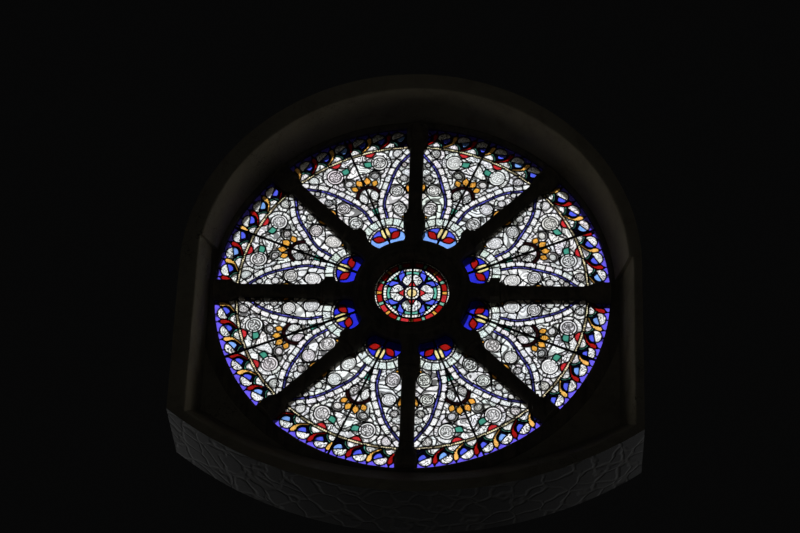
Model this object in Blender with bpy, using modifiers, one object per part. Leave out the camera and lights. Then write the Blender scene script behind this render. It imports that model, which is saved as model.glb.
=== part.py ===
"""Rose window: a stone wheel of eight round-shafted spokes that holds leaded lights, in an arched reveal.

Metres, +Z up. The room side faces -Y and the flat outer side lies in the plane y = 0. The origin is on
that outer side, at the foot of the reveal, where the wall carries the window.
"""

import math

import bmesh
import bpy
from mathutils import Matrix

# The wheel, measured from its centre.
CENTRE_Z = 1.86
SECTORS = 8
SECTOR = 2 * math.pi / SECTORS
SIGHT_R = 1.58  # clear radius inside the rim
RIM_R = 1.70
OUTER_SPLAY = 0.045  # how much wider the rim is on the outer side
CORE_R = 0.47  # round middle of the hub
HUB_END = 0.62  # where the hub's arms stop and the spokes begin
FOIL_AT = 0.581  # centre of the round end of each light
FOIL_R = 0.161
EYE_R = 0.305  # clear radius of the roundel in the middle

# Depths along Y.
GLASS_Y = -0.25
RIM_FRONT = GLASS_Y - 0.05
REVEAL_FRONT = GLASS_Y - 0.46
SPANDREL_Y = GLASS_Y - 0.04  # the back of the recess, beside the rim
HUB_FRONT = GLASS_Y - 0.10
HUB_BACK = GLASS_Y + 0.135
SPOKE_BACK = GLASS_Y + 0.08
BAR_FRONT = GLASS_Y - 0.03
SHAFT_Y = GLASS_Y - 0.018  # axis of a spoke's shaft

# One spoke: plinth, moulded base, round shaft, bell and round abacus.
PLINTH_HALF = 0.0875
PLINTH_END = 0.70
BASE_END = 0.775
SHAFT_R = 0.055
NECK_AT = 1.365
BELL_END = 1.45
ABACUS_R = 0.088
QUIRK = 0.004  # the flat bar behind is this much narrower than the shaft, each side
PLINTH_BEVEL = 0.007

# Leaded panels, the grooves that hold them, and the iron bars that stiffen them.
PANEL_T = 0.010
PANEL_SET = 0.010  # how far a panel enters the stone
GROOVE_T = 0.0106
GROOVE_SET = 0.013
BAR_R = 0.006
BAR_Y = GLASS_Y - 0.0135
BAR_SET = 0.014
BAR_PLAY = 0.0004
EYE_BAR_R = 0.005

# The reveal: an arch on two jambs over a curved sill, all splayed, so each size is given at the room
# side and at the wheel. Pairs run left, right; heights are above the wheel's centre.
ARCH_NEAR = (0.022, -0.03, 1.692)  # centre x, centre z, radius: the old arch isn't quite true
ARCH_FAR = (0.0, 0.0, 1.612)
JAMBS_NEAR = (-1.667, 1.74)
JAMBS_FAR = (-1.612, 1.642)
LEDGES_NEAR = (0.245, 0.07)  # the small ledges under the arch's springings
LEDGES_FAR = (0.37, 0.105)
SILL_R = 3.0
SILL_X = 0.09  # the sill is lowest a little to the right
SILL_FRONT_Z = -1.905
SILL_BACK_Z = -1.62
OUTER_HALF = 1.81  # where the wall is cut off, each side
FOOT_LINING = 0.09

JOINT = 0.0006  # between two stones
ROUND = 64  # sides of the rim's circle
HUB_ROUND = 32  # sides of the hub's core
FOIL_ROUND = 20
SHAFT_ROUND = 12

COLOURS = {
    "stone": ((0.30, 0.285, 0.255), 0.9, 0.0),
    "plaster": ((0.46, 0.43, 0.37), 0.92, 0.0),
    "leaded_glass": ((0.55, 0.60, 0.66), 0.2, 0.0),
    "iron": ((0.06, 0.055, 0.05), 0.6, 0.8),
}


def clear_scene():
    for thing in list(bpy.data.objects):
        bpy.data.objects.remove(thing)


def new_collection(name):
    group = bpy.data.collections.new(name)
    bpy.context.scene.collection.children.link(group)
    return group


def new_material(name):
    colour, roughness, metallic = COLOURS[name]
    material = bpy.data.materials.new(name)
    material.use_nodes = True
    shader = material.node_tree.nodes["Principled BSDF"]
    shader.inputs["Base Color"].default_value = (*colour, 1.0)
    shader.inputs["Roughness"].default_value = roughness
    shader.inputs["Metallic"].default_value = metallic
    return material


def smooth_step(x):
    """0 below 0, 1 above 1, and a half cosine wave between."""
    return 0.5 - 0.5 * math.cos(math.pi * min(1.0, max(0.0, x)))


def arc(centre_x, centre_z, radius, start, stop, steps):
    """Points on an arc in XZ. Angles run clockwise from the top, seen from the room."""
    turns = (start + (stop - start) * i / steps for i in range(steps + 1))
    return [(centre_x + radius * math.sin(a), centre_z + radius * math.cos(a)) for a in turns]


def add_object(name, mesh, collection):
    thing = bpy.data.objects.new(name, mesh)
    collection.objects.link(thing)
    return thing


def weld(mesh):
    work = bmesh.new()
    work.from_mesh(mesh)
    bmesh.ops.remove_doubles(work, verts=work.verts, dist=1e-6)
    bmesh.ops.recalc_face_normals(work, faces=work.faces)
    work.to_mesh(mesh)
    work.free()


def slab(name, outlines, y_front, y_back, collection):
    """A flat shape in the XZ plane with thickness along Y. Outlines after the first are holes."""
    curve = bpy.data.curves.new(name, "CURVE")
    curve.dimensions = "2D"
    curve.fill_mode = "BOTH"
    curve.extrude = (y_back - y_front) / 2
    for outline in outlines:
        spline = curve.splines.new("POLY")
        spline.points.add(len(outline) - 1)
        spline.points.foreach_set("co", [c for x, z in outline for c in (x, z, 0.0, 1.0)])
        spline.use_cyclic_u = True
    flat = bpy.data.objects.new(name, curve)
    collection.objects.link(flat)
    bpy.context.view_layer.update()
    depsgraph = bpy.context.evaluated_depsgraph_get()
    mesh = bpy.data.meshes.new_from_object(flat.evaluated_get(depsgraph))
    bpy.data.objects.remove(flat)
    weld(mesh)
    upright = Matrix.Rotation(math.radians(90), 4, "X")
    mesh.transform(Matrix.Translation((0, (y_front + y_back) / 2, 0)) @ upright)
    return add_object(name, mesh, collection)


def turned(name, profile, axis, steps, collection, closed=False):
    """A profile of (radius, place along the axis) swept round the Y or Z axis by a Screw modifier."""
    mesh = bpy.data.meshes.new(name)
    if axis == "Z":
        points = [(r, 0.0, h) for r, h in profile]
    else:
        points = [(r, h, 0.0) for r, h in profile]
    edges = [(i, i + 1) for i in range(len(points) - 1)]
    if closed:
        edges.append((len(points) - 1, 0))
    mesh.from_pydata(points, edges, [])
    thing = add_object(name, mesh, collection)
    screw = thing.modifiers.new("Turn", "SCREW")
    screw.axis = axis
    screw.steps = steps
    screw.render_steps = steps
    screw.use_merge_vertices = True
    screw.merge_threshold = 1e-5
    thing = baked(thing)
    weld(thing.data)
    return thing


def baked(thing):
    """The object with its modifiers applied."""
    bpy.context.view_layer.update()
    depsgraph = bpy.context.evaluated_depsgraph_get()
    mesh = bpy.data.meshes.new_from_object(thing.evaluated_get(depsgraph))
    thing.modifiers.clear()
    thing.data = mesh
    return thing


def box(name, low, high, collection, bevel=0.0):
    """A box from its lowest to its highest corner. A bevel cuts back the four edges of its front."""
    mesh = bpy.data.meshes.new(name)
    work = bmesh.new()
    size = [b - a for a, b in zip(low, high)]
    middle = [(a + b) / 2 for a, b in zip(low, high)]
    place = Matrix.Translation(middle) @ Matrix.Diagonal((*size, 1.0))
    bmesh.ops.create_cube(work, size=1.0, matrix=place)
    if bevel:
        front = [e for e in work.edges if all(v.co.y < middle[1] for v in e.verts)]
        bmesh.ops.bevel(work, geom=front, offset=bevel, segments=1, affect="EDGES")
    work.to_mesh(mesh)
    work.free()
    return add_object(name, mesh, collection)


def apply_boolean(thing, other, operation):
    cut = thing.modifiers.new(operation.title(), "BOOLEAN")
    cut.operation = operation
    cut.solver = "EXACT"
    cut.object = other
    return baked(thing)


def finish_piece(thing, material, collection, turn=0.0):
    """Moves a finished piece into the model's collection, at the wheel's centre, turned about Y."""
    for holder in list(thing.users_collection):
        holder.objects.unlink(thing)
    collection.objects.link(thing)
    thing.location = (0.0, 0.0, CENTRE_Z)
    thing.rotation_euler = (0.0, turn, 0.0)
    if not thing.data.materials:
        thing.data.materials.append(material)
    thing.data.shade_smooth()
    thing.data.set_sharp_from_angle(angle=math.radians(35))


def hide_tool(thing):
    thing.hide_render = True
    thing.display_type = "WIRE"


def bar_half(s):
    """Half-width of the flat bar behind a spoke's shaft, at distance s from the wheel's centre."""
    plinth = PLINTH_HALF - QUIRK
    shaft = SHAFT_R - QUIRK
    abacus = ABACUS_R - QUIRK
    foot = plinth + (shaft - plinth) * smooth_step((s - PLINTH_END) / (BASE_END - PLINTH_END))
    return foot + (abacus - shaft) * smooth_step((s - NECK_AT) / (BELL_END - NECK_AT))


def bar_stations():
    """Distances from the centre at which the flat bar's outline turns."""
    head = [NECK_AT + (BELL_END - NECK_AT) * i / 3 for i in range(4)]
    return [PLINTH_END, BASE_END, *head]


def light_outline(grow):
    """Outline of one light with its axis up: rim arc, two spokes, round end, hub core.

    grow pushes the whole outline into the stone round it.
    """
    core = CORE_R - grow
    foil = FOIL_R + grow
    rim = SIGHT_R + grow
    half_sector = SECTOR / 2
    meet_z = (core**2 + FOIL_AT**2 - foil**2) / (2 * FOIL_AT)
    meet_x = math.sqrt(core**2 - meet_z**2)
    core_turn = math.asin(meet_x / core)
    inner = arc(0, 0, core, 0, core_turn, 2)[:-1]

    foil_start = math.atan2(meet_x, meet_z - FOIL_AT)
    side = FOIL_AT * math.sin(half_sector)
    along = HUB_END - FOIL_AT * math.cos(half_sector)
    reach = math.sqrt(foil**2 - along**2)
    end_x = FOIL_AT * math.cos(half_sector) + along
    foil_end_point = beside_spoke(end_x, side - reach)
    foil_stop = math.atan2(foil_end_point[0], foil_end_point[1] - FOIL_AT)
    round_end = arc(0, FOIL_AT, foil, foil_start, foil_stop, 6)

    along_spoke = [beside_spoke(s, bar_half(s) - grow) for s in [HUB_END, *bar_stations()]]
    corner_s = math.sqrt(rim**2 - (bar_half(rim) - grow) ** 2)
    corner = beside_spoke(corner_s, bar_half(rim) - grow)
    rim_turn = math.atan2(corner[0], corner[1])
    outer = arc(0, 0, rim, rim_turn, 0, 4)
    right = inner + round_end + along_spoke + outer
    left = [(-x, z) for x, z in reversed(right[1:-1])]
    return right + left


def beside_spoke(s, half_width):
    """The point s along the spoke on a light's right, half_width off its axis towards the light."""
    turn = SECTOR / 2
    x = s * math.sin(turn) - half_width * math.cos(turn)
    z = s * math.cos(turn) + half_width * math.sin(turn)
    return x, z


def groove_cutter(name, side, tools):
    """The groove along one side of a spoke, as a tool. side is -1 or 1."""
    y_front, y_back = GLASS_Y - GROOVE_T / 2, GLASS_Y + GROOVE_T / 2
    stations = [HUB_END - 0.02, *bar_stations(), SIGHT_R + 0.02]
    inner = [(side * (bar_half(s) - GROOVE_SET), s) for s in stations]
    outer = [(side * 2 * PLINTH_HALF, stations[-1]), (side * 2 * PLINTH_HALF, stations[0])]
    return slab(name, [inner + outer], y_front, y_back, tools)


def bar_hole(name, radius, y, start, stop, tools):
    """A round iron bar that lies along +Z, or the socket for one."""
    mesh = bpy.data.meshes.new(name)
    work = bmesh.new()
    place = Matrix.Translation((0, y, (start + stop) / 2)) @ Matrix.Rotation(math.pi / 8, 4, "Z")
    bmesh.ops.create_cone(
        work, cap_ends=True, segments=8, radius1=radius, radius2=radius, depth=stop - start, matrix=place
    )
    work.to_mesh(mesh)
    work.free()
    return add_object(name, mesh, tools)


def build_spoke_mesh(tools):
    """One spoke along +Z: flat bar, plinth, moulded base, shaft, bell and abacus, grooved both sides."""
    beyond = SIGHT_R + 0.03
    step = 0.002  # keeps the plinth's and the abacus's ends off the turns in the bar's outline
    right = [(bar_half(s), s) for s in [HUB_END + JOINT, *bar_stations(), beyond]]
    outline = right + [(-x, s) for x, s in reversed(right)]
    spoke = slab("spoke_bar", [outline], BAR_FRONT, SPOKE_BACK, tools)

    torus_r, roll_r = PLINTH_HALF - 0.003, 0.066
    torus = [(torus_r - 0.012 + 0.012 * math.sin(a), 0.715 - 0.015 * math.cos(a))
             for a in (math.pi * i / 3 for i in range(4))]
    roll = [(roll_r - 0.008 + 0.008 * math.sin(a), 0.761 - 0.008 * math.cos(a))
            for a in (math.pi * i / 2 for i in range(3))]
    neck = [(SHAFT_R, NECK_AT), (SHAFT_R + 0.009, NECK_AT + 0.010)]
    bell = [(SHAFT_R + 0.002 + (ABACUS_R - 0.004 - SHAFT_R) * (i / 3) ** 2.2,
             NECK_AT + 0.022 + (BELL_END - NECK_AT - 0.026) * i / 3) for i in range(4)]
    buried = 0.010  # how far the turned part runs into the plinth
    foot = [(0.0, PLINTH_END - buried), (torus_r - 0.012, PLINTH_END - buried)]
    abacus = [(ABACUS_R, BELL_END + step), (ABACUS_R, beyond + 0.02), (0.0, beyond + 0.02)]
    profile = foot + torus + roll + [(SHAFT_R, BASE_END)] + neck + bell + abacus
    column = turned("spoke_column", list(reversed(profile)), "Z", SHAFT_ROUND, tools)
    column.data.transform(Matrix.Translation((0, SHAFT_Y, 0)))

    block_back = GLASS_Y + 0.03
    plinth = box("spoke_plinth", (-PLINTH_HALF, SHAFT_Y - PLINTH_HALF, HUB_END + JOINT),
                 (PLINTH_HALF, block_back, PLINTH_END - step), tools, PLINTH_BEVEL)
    for part in (column, plinth):
        spoke = apply_boolean(spoke, part, "UNION")

    side_turn = 4 * math.pi / ROUND  # two of the rim's flats, one each side of the spoke
    end = arc(0, 0, SIGHT_R - JOINT, side_turn / 2, -side_turn / 2, 2)
    past = SIGHT_R + 0.2
    outside = slab("spoke_end", [[(end[-1][0], past), (end[0][0], past), *end]], REVEAL_FRONT, 0.0, tools)
    spoke = apply_boolean(spoke, outside, "DIFFERENCE")
    for side in (-1, 1):
        spoke = apply_boolean(spoke, groove_cutter("spoke_groove", side, tools), "DIFFERENCE")
    return spoke.data


def build_spokes(model, tools, stone):
    mesh = build_spoke_mesh(tools)
    for i in range(SECTORS):
        spoke = add_object(f"spoke_{i + 1}", mesh, model)
        finish_piece(spoke, stone, model, i * SECTOR)


def build_hub(model, tools, stone):
    """An octagon with a round end cut for each light, and a moulded ring round the roundel."""
    corner = HUB_END / math.cos(SECTOR / 2)
    octagon = arc(0, 0, corner, SECTOR / 2, SECTOR / 2 + 2 * math.pi, SECTORS)[:-1]
    inside = arc(0, 0, 0.40, 0, -2 * math.pi, HUB_ROUND)[:-1]
    hub = slab("hub", [octagon, inside], HUB_FRONT, HUB_BACK, tools)
    flare = 0.045
    lip = HUB_FRONT + flare
    margin = 0.02
    groove_front, groove_back = GLASS_Y - GROOVE_T / 2, GLASS_Y + GROOVE_T / 2
    foil_groove = FOIL_R + GROOVE_SET
    foil = [(0.0, HUB_BACK + margin), (FOIL_R, HUB_BACK + margin), (FOIL_R, groove_back),
            (foil_groove, groove_back), (foil_groove, groove_front), (FOIL_R, groove_front), (FOIL_R, lip),
            (FOIL_R + flare + margin, HUB_FRONT - margin), (0.0, HUB_FRONT - margin)]
    for i in range(SECTORS):
        cutter = turned("hub_foil", foil, "Y", FOIL_ROUND, tools)
        turn = (i + 0.5) * SECTOR
        place = (FOIL_AT * math.sin(turn), 0, FOIL_AT * math.cos(turn))
        cutter.data.transform(Matrix.Translation(place) @ Matrix.Rotation(turn, 4, "Y"))
        hide_tool(cutter)
        hub = apply_boolean(hub, cutter, "DIFFERENCE")

    core_groove, eye_groove = CORE_R - GROOVE_SET, EYE_R + GROOVE_SET
    roll = [(0.372 + 0.020 * math.cos(a), HUB_FRONT - 0.016 * math.sin(a))
            for a in (math.pi * i / 3 for i in range(4))]
    ring = [
        (CORE_R, HUB_BACK + 0.002), (CORE_R, groove_back), (core_groove, groove_back),
        (core_groove, groove_front), (CORE_R, groove_front), (CORE_R, lip),
        (CORE_R - flare + 0.004, HUB_FRONT - 0.004), *roll, (EYE_R, HUB_FRONT + 0.045),
        (EYE_R, groove_front), (eye_groove, groove_front), (eye_groove, groove_back),
        (EYE_R, groove_back), (EYE_R, HUB_BACK + 0.002),
    ]
    core = turned("hub_core", ring, "Y", HUB_ROUND, tools, closed=True)
    hub = apply_boolean(hub, core, "UNION")

    for i in range(SECTORS):
        turn = (i + 0.5) * SECTOR
        socket = bar_hole("hub_socket", BAR_R + BAR_PLAY, BAR_Y, CORE_R - BAR_SET - 0.002, CORE_R + 0.01, tools)
        socket.data.transform(Matrix.Rotation(turn, 4, "Y"))
        hide_tool(socket)
        hub = apply_boolean(hub, socket, "DIFFERENCE")
    for turn in (0.0, math.pi):
        socket = bar_hole("eye_socket", EYE_BAR_R + BAR_PLAY, BAR_Y, EYE_R - 0.01, EYE_R + BAR_SET + 0.002, tools)
        socket.data.transform(Matrix.Rotation(turn, 4, "Y"))
        hide_tool(socket)
        hub = apply_boolean(hub, socket, "DIFFERENCE")
    finish_piece(hub, stone, model)


def build_rim(model, tools, stone):
    """The ring that the spokes end against, grooved inside for the panels."""
    chamfer = 0.02
    groove_r = SIGHT_R + GROOVE_SET
    section = [
        (SIGHT_R + chamfer, RIM_FRONT), (RIM_R, RIM_FRONT), (RIM_R, 0.0), (SIGHT_R + OUTER_SPLAY, 0.0),
        (SIGHT_R, SPOKE_BACK), (SIGHT_R, GLASS_Y + GROOVE_T / 2), (groove_r, GLASS_Y + GROOVE_T / 2),
        (groove_r, GLASS_Y - GROOVE_T / 2), (SIGHT_R, GLASS_Y - GROOVE_T / 2), (SIGHT_R, RIM_FRONT + chamfer),
    ]
    rim = turned("rim", section, "Y", ROUND, tools, closed=True)
    for i in range(SECTORS):
        socket = bar_hole("rim_socket", BAR_R + BAR_PLAY, BAR_Y, SIGHT_R - 0.01, SIGHT_R + BAR_SET + 0.002, tools)
        socket.data.transform(Matrix.Rotation((i + 0.5) * SECTOR, 4, "Y"))
        hide_tool(socket)
        rim = apply_boolean(rim, socket, "DIFFERENCE")
    finish_piece(rim, stone, model)


def sill_z(x, lowest):
    return lowest + SILL_R - math.sqrt(SILL_R**2 - (x - SILL_X) ** 2)


def recess_outline(arch, jambs, ledges, lowest):
    """Arch, small ledges at the springing, jambs and curved sill, seen from the room."""
    centre_x, centre_z, radius = arch
    left, right = jambs
    left_turn, right_turn = (math.acos((height - centre_z) / radius) for height in ledges)
    top = arc(centre_x, centre_z, radius, -left_turn, right_turn, 26)
    steps = 10
    across = [right + (left - right) * i / steps for i in range(steps + 1)]
    sill = [(x, sill_z(x, lowest)) for x in across]
    return top + [(right, ledges[1]), *sill, (left, ledges[0])]


def build_reveal(model, tools, plaster):
    """The wall round the window: an arched block, cut off flat, with the recess and the wheel's seat."""
    steps = 10
    across = [OUTER_HALF - 2 * OUTER_HALF * i / steps for i in range(steps + 1)]
    foot = [(x, sill_z(x, SILL_FRONT_Z) - FOOT_LINING) for x in across]
    outline = arc(0, 0, OUTER_HALF, -math.pi / 2, math.pi / 2, 28) + foot
    reveal = slab("reveal", [outline], REVEAL_FRONT, 0.0, tools)

    depth = SPANDREL_Y - REVEAL_FRONT
    margin = 0.05
    near = recess_outline(ARCH_NEAR, JAMBS_NEAR, LEDGES_NEAR, SILL_FRONT_Z)
    far = recess_outline(ARCH_FAR, JAMBS_FAR, LEDGES_FAR, SILL_BACK_Z)
    reach = margin / depth  # the tool runs past the room side
    past = [(x + (x - u) * reach, z + (z - w) * reach) for (x, z), (u, w) in zip(near, far)]
    recess = loft("recess", past, REVEAL_FRONT - margin, far, SPANDREL_Y, tools)
    reveal = apply_boolean(reveal, recess, "DIFFERENCE")

    seat_r = RIM_R + JOINT
    seat = [(0.0, margin), (seat_r, margin), (seat_r, RIM_FRONT - JOINT),
            (seat_r - 0.02, RIM_FRONT - JOINT), (0.0, RIM_FRONT - JOINT)]
    hole = turned("seat", seat, "Y", ROUND, tools)
    hide_tool(hole)
    reveal = apply_boolean(reveal, hole, "DIFFERENCE")
    finish_piece(reveal, plaster, model)


def loft(name, near, y_near, far, y_far, collection):
    """A closed body between two outlines with equal numbers of points, at two depths."""
    count = len(near)
    mesh = bpy.data.meshes.new(name)
    points = [(x, y_near, z) for x, z in near] + [(x, y_far, z) for x, z in far]
    sides = [(i, (i + 1) % count, count + (i + 1) % count, count + i) for i in range(count)]
    caps = [tuple(range(count)), tuple(range(2 * count - 1, count - 1, -1))]
    mesh.from_pydata(points, [], sides + caps)
    weld(mesh)
    body = add_object(name, mesh, collection)
    hide_tool(body)
    return body


def build_glass(model, tools, glass):
    """Eight leaded lights and the roundel, each a plate that enters the grooves round it."""
    y_front, y_back = GLASS_Y - PANEL_T / 2, GLASS_Y + PANEL_T / 2
    light = slab("light", [light_outline(PANEL_SET)], y_front, y_back, tools)
    hide_tool(light)
    for i in range(SECTORS):
        panel = add_object(f"light_{i + 1}", light.data, model)
        finish_piece(panel, glass, model, (i + 0.5) * SECTOR)
    disc = [(0.0, y_back), (EYE_R + PANEL_SET, y_back), (EYE_R + PANEL_SET, y_front), (0.0, y_front)]
    finish_piece(turned("roundel", disc, "Y", HUB_ROUND, tools), glass, model)


def build_bars(model, tools, iron):
    """A round iron bar up the middle of each light, let into hub and rim, and one across the roundel."""
    for i in range(SECTORS):
        bar = bar_hole(f"bar_{i + 1}", BAR_R, BAR_Y, CORE_R - BAR_SET, SIGHT_R + BAR_SET, tools)
        finish_piece(bar, iron, model, (i + 0.5) * SECTOR)
    reach = EYE_R + BAR_SET
    finish_piece(bar_hole("roundel_bar", EYE_BAR_R, BAR_Y, -reach, reach, tools), iron, model)


def build_window():
    clear_scene()
    model = new_collection("rose_window")
    tools = new_collection("tools")
    materials = {name: new_material(name) for name in COLOURS}
    build_reveal(model, tools, materials["plaster"])
    build_rim(model, tools, materials["stone"])
    build_hub(model, tools, materials["stone"])
    build_spokes(model, tools, materials["stone"])
    build_glass(model, tools, materials["leaded_glass"])
    build_bars(model, tools, materials["iron"])
    for thing in tools.objects:
        hide_tool(thing)


build_window()
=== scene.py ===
"""Rose window: the finished looks of the stone wheel, its leaded lights and the reveal round it."""

import math

import bpy
import numpy as np
from mathutils import Matrix, Vector
from mathutils.geometry import delaunay_2d_cdt


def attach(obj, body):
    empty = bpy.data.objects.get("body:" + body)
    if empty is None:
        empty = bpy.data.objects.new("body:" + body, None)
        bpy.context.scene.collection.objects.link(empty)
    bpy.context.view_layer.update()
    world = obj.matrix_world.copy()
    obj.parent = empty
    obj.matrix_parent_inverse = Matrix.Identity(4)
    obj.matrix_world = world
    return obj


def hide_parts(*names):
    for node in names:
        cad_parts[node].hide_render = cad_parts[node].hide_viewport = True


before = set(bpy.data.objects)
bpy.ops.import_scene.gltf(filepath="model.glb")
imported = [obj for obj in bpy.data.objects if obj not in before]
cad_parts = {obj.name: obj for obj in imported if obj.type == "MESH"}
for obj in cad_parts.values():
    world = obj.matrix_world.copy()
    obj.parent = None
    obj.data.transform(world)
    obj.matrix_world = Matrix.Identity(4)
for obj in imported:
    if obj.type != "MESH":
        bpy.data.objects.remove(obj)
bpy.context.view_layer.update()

# ---------------------------------------------------------------------------------------------
# The reveal: the plastered masonry that the window sits in. An arch on two jambs stands over a
# sloping sill, all in one skin of old lime plaster, trowelled by hand and never quite flat. Where
# the wall is cut off, its rubble and mortar show.

CENTRE_Z = 1.86  # height of the wheel's centre above the origin
GLASS_Y = -0.25
RIM_FRONT = GLASS_Y - 0.05
REVEAL_FRONT = GLASS_Y - 0.46
SPANDREL_Y = GLASS_Y - 0.04  # the back of the recess, beside the rim
RIM_R = 1.70
ARCH_NEAR = (0.022, -0.03, 1.692)  # centre x, centre z, radius at the room side
ARCH_FAR = (0.0, 0.0, 1.612)  # the same at the wheel
JAMBS_NEAR = (-1.667, 1.74)  # left, right
JAMBS_FAR = (-1.612, 1.642)
LEDGES_NEAR = (0.245, 0.07)  # the small ledges under the arch's springings, above the wheel's centre
LEDGES_FAR = (0.37, 0.105)
SILL_R = 3.0
SILL_X = 0.09
SILL_FRONT_Z = -1.905
SILL_BACK_Z = -1.62
OUTER_HALF = 1.81  # where the wall is cut off, each side
FOOT_LINING = 0.09
JOINT = 0.0006
ARRIS = 0.012  # worn roundness of the reveal's front edge
CUT_ROWS = 14  # loops of points across the cut side of the wall


def outward(points, faces):
    """A closed shell with its faces turned round where the volume they enclose comes out negative."""
    points = np.asarray(points, dtype=float)
    fans = np.concatenate([part[:, [0, i, i + 1]] for part in faces for i in range(1, part.shape[1] - 1)])
    a, b, c = (points[fans[:, i]] - points[0] for i in range(3))
    if np.einsum("ij,ij->", a, np.cross(b, c)) < 0:
        faces = [part[:, ::-1] for part in faces]
    return points, faces


def make_piece(name, points, faces, materials, sharp=35.0, material_of=None):
    """A mesh object from an (n, 3) array of points and a list of (m, k) arrays of face corners."""
    mesh = bpy.data.meshes.new(name)
    corners = np.concatenate([part.ravel() for part in faces]).astype(np.int32)
    sizes = np.concatenate([np.full(len(part), part.shape[1]) for part in faces])
    starts = np.concatenate([[0], np.cumsum(sizes)[:-1]]).astype(np.int32)
    mesh.vertices.add(len(points))
    mesh.vertices.foreach_set("co", points.astype(np.float32).ravel())
    mesh.loops.add(len(corners))
    mesh.loops.foreach_set("vertex_index", corners)
    mesh.polygons.add(len(sizes))
    mesh.polygons.foreach_set("loop_start", starts)
    for material in materials:
        mesh.materials.append(material)
    if material_of is not None:
        mesh.polygons.foreach_set("material_index", np.asarray(material_of, dtype=np.int32))
    mesh.update(calc_edges=True)
    mesh.shade_smooth()
    mesh.set_sharp_from_angle(angle=math.radians(sharp))
    piece = bpy.data.objects.new(name, mesh)
    bpy.context.scene.collection.objects.link(piece)
    return piece


def grid_faces(rows, columns, close_rows=False, close_columns=False):
    """The quads of a grid of points numbered row by row, with either way joined end to start."""
    across = np.arange(columns if close_columns else columns - 1)
    down = np.arange(rows if close_rows else rows - 1)
    i, j = np.meshgrid(down, across, indexing="ij")
    i2, j2 = (i + 1) % rows, (j + 1) % columns
    quads = np.stack([i * columns + j, i * columns + j2, i2 * columns + j2, i2 * columns + j], -1)
    return quads.reshape(-1, 4)


def polar(reach, turn):
    """The place at a distance from the middle, turn radians clockwise from straight up."""
    return np.stack([reach * np.sin(turn), reach * np.cos(turn)], -1)


def around(places):
    """The inverse: distance from the middle and radians clockwise from straight up."""
    return np.hypot(places[:, 0], places[:, 1]), np.arctan2(places[:, 0], places[:, 1])


def turned_flat(path, turn, centre=(0.0, 0.0)):
    """Flat places turned clockwise by turn about the middle, then moved by centre."""
    x, y = path[:, 0], path[:, 1]
    return np.stack([centre[0] + x * np.cos(turn) + y * np.sin(turn),
                     centre[1] - x * np.sin(turn) + y * np.cos(turn)], -1)


def unevenness(points, size, seed):
    """Soft bumps, mostly between -1 and 1: thirty sine waves in random directions, about size long,
    added up."""
    random = np.random.default_rng(seed)
    ways = random.normal(size=(30, 3))
    lengths = np.linalg.norm(ways, axis=1, keepdims=True)
    ways *= 2 * math.pi / (size * random.uniform(0.6, 1.7, (30, 1)) * lengths)
    return np.sin(points @ ways.T + random.uniform(0, 2 * math.pi, 30)).sum(1) / math.sqrt(60)


def sill_z(x, lowest):
    """Height of the sill: a shallow circle that is lowest at SILL_X."""
    return lowest + SILL_R - np.sqrt(SILL_R**2 - (x - SILL_X) ** 2)


def loop_of(*stretches):
    """One closed loop from arch, ledge, jamb, sill, jamb and ledge, each a function of 0 to 1."""
    counts = (260, 4, 60, 130, 66, 4)
    return np.vstack([stretch(np.linspace(0, 1, count, endpoint=False))
                      for stretch, count in zip(stretches, counts)])


def straight(a, b):
    return lambda t: np.outer(1 - t, a) + np.outer(t, b)


def circular(radius, start, stop, centre=(0.0, 0.0)):
    return lambda t: polar(radius, start + (stop - start) * t) + centre


def sill_stretch(right, left, lowest):
    def stretch(t):
        x = right + (left - right) * t
        return np.stack([x, sill_z(x, lowest)], -1)
    return stretch


def recess_loop(arch, jambs, ledges, lowest):
    """The recess seen from the room: arch, ledge, jamb, sill, jamb, ledge."""
    centre_x, centre_z, radius = arch
    left, right = jambs
    turns = [math.acos((height - centre_z) / radius) for height in ledges]
    springs = [(centre_x + side * radius * math.sin(turn), height)
               for side, turn, height in zip((-1, 1), turns, ledges)]
    return loop_of(
        circular(radius, -turns[0], turns[1], (centre_x, centre_z)),
        straight(springs[1], (right, ledges[1])),
        straight((right, ledges[1]), (right, sill_z(right, lowest))),
        sill_stretch(right, left, lowest),
        straight((left, sill_z(left, lowest)), (left, ledges[0])),
        straight((left, ledges[0]), springs[0]),
    )


def outer_loop():
    """The line along which the wall is cut off."""
    half = OUTER_HALF
    lowest = SILL_FRONT_Z - FOOT_LINING
    spring = math.radians(86)
    return loop_of(
        circular(half, -spring, spring),
        circular(half, spring, math.pi / 2),
        straight((half, 0), (half, sill_z(half, lowest))),
        sill_stretch(half, -half, lowest),
        straight((-half, sill_z(-half, lowest)), (-half, 0)),
        circular(half, -math.pi / 2, -spring),
    )


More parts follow.
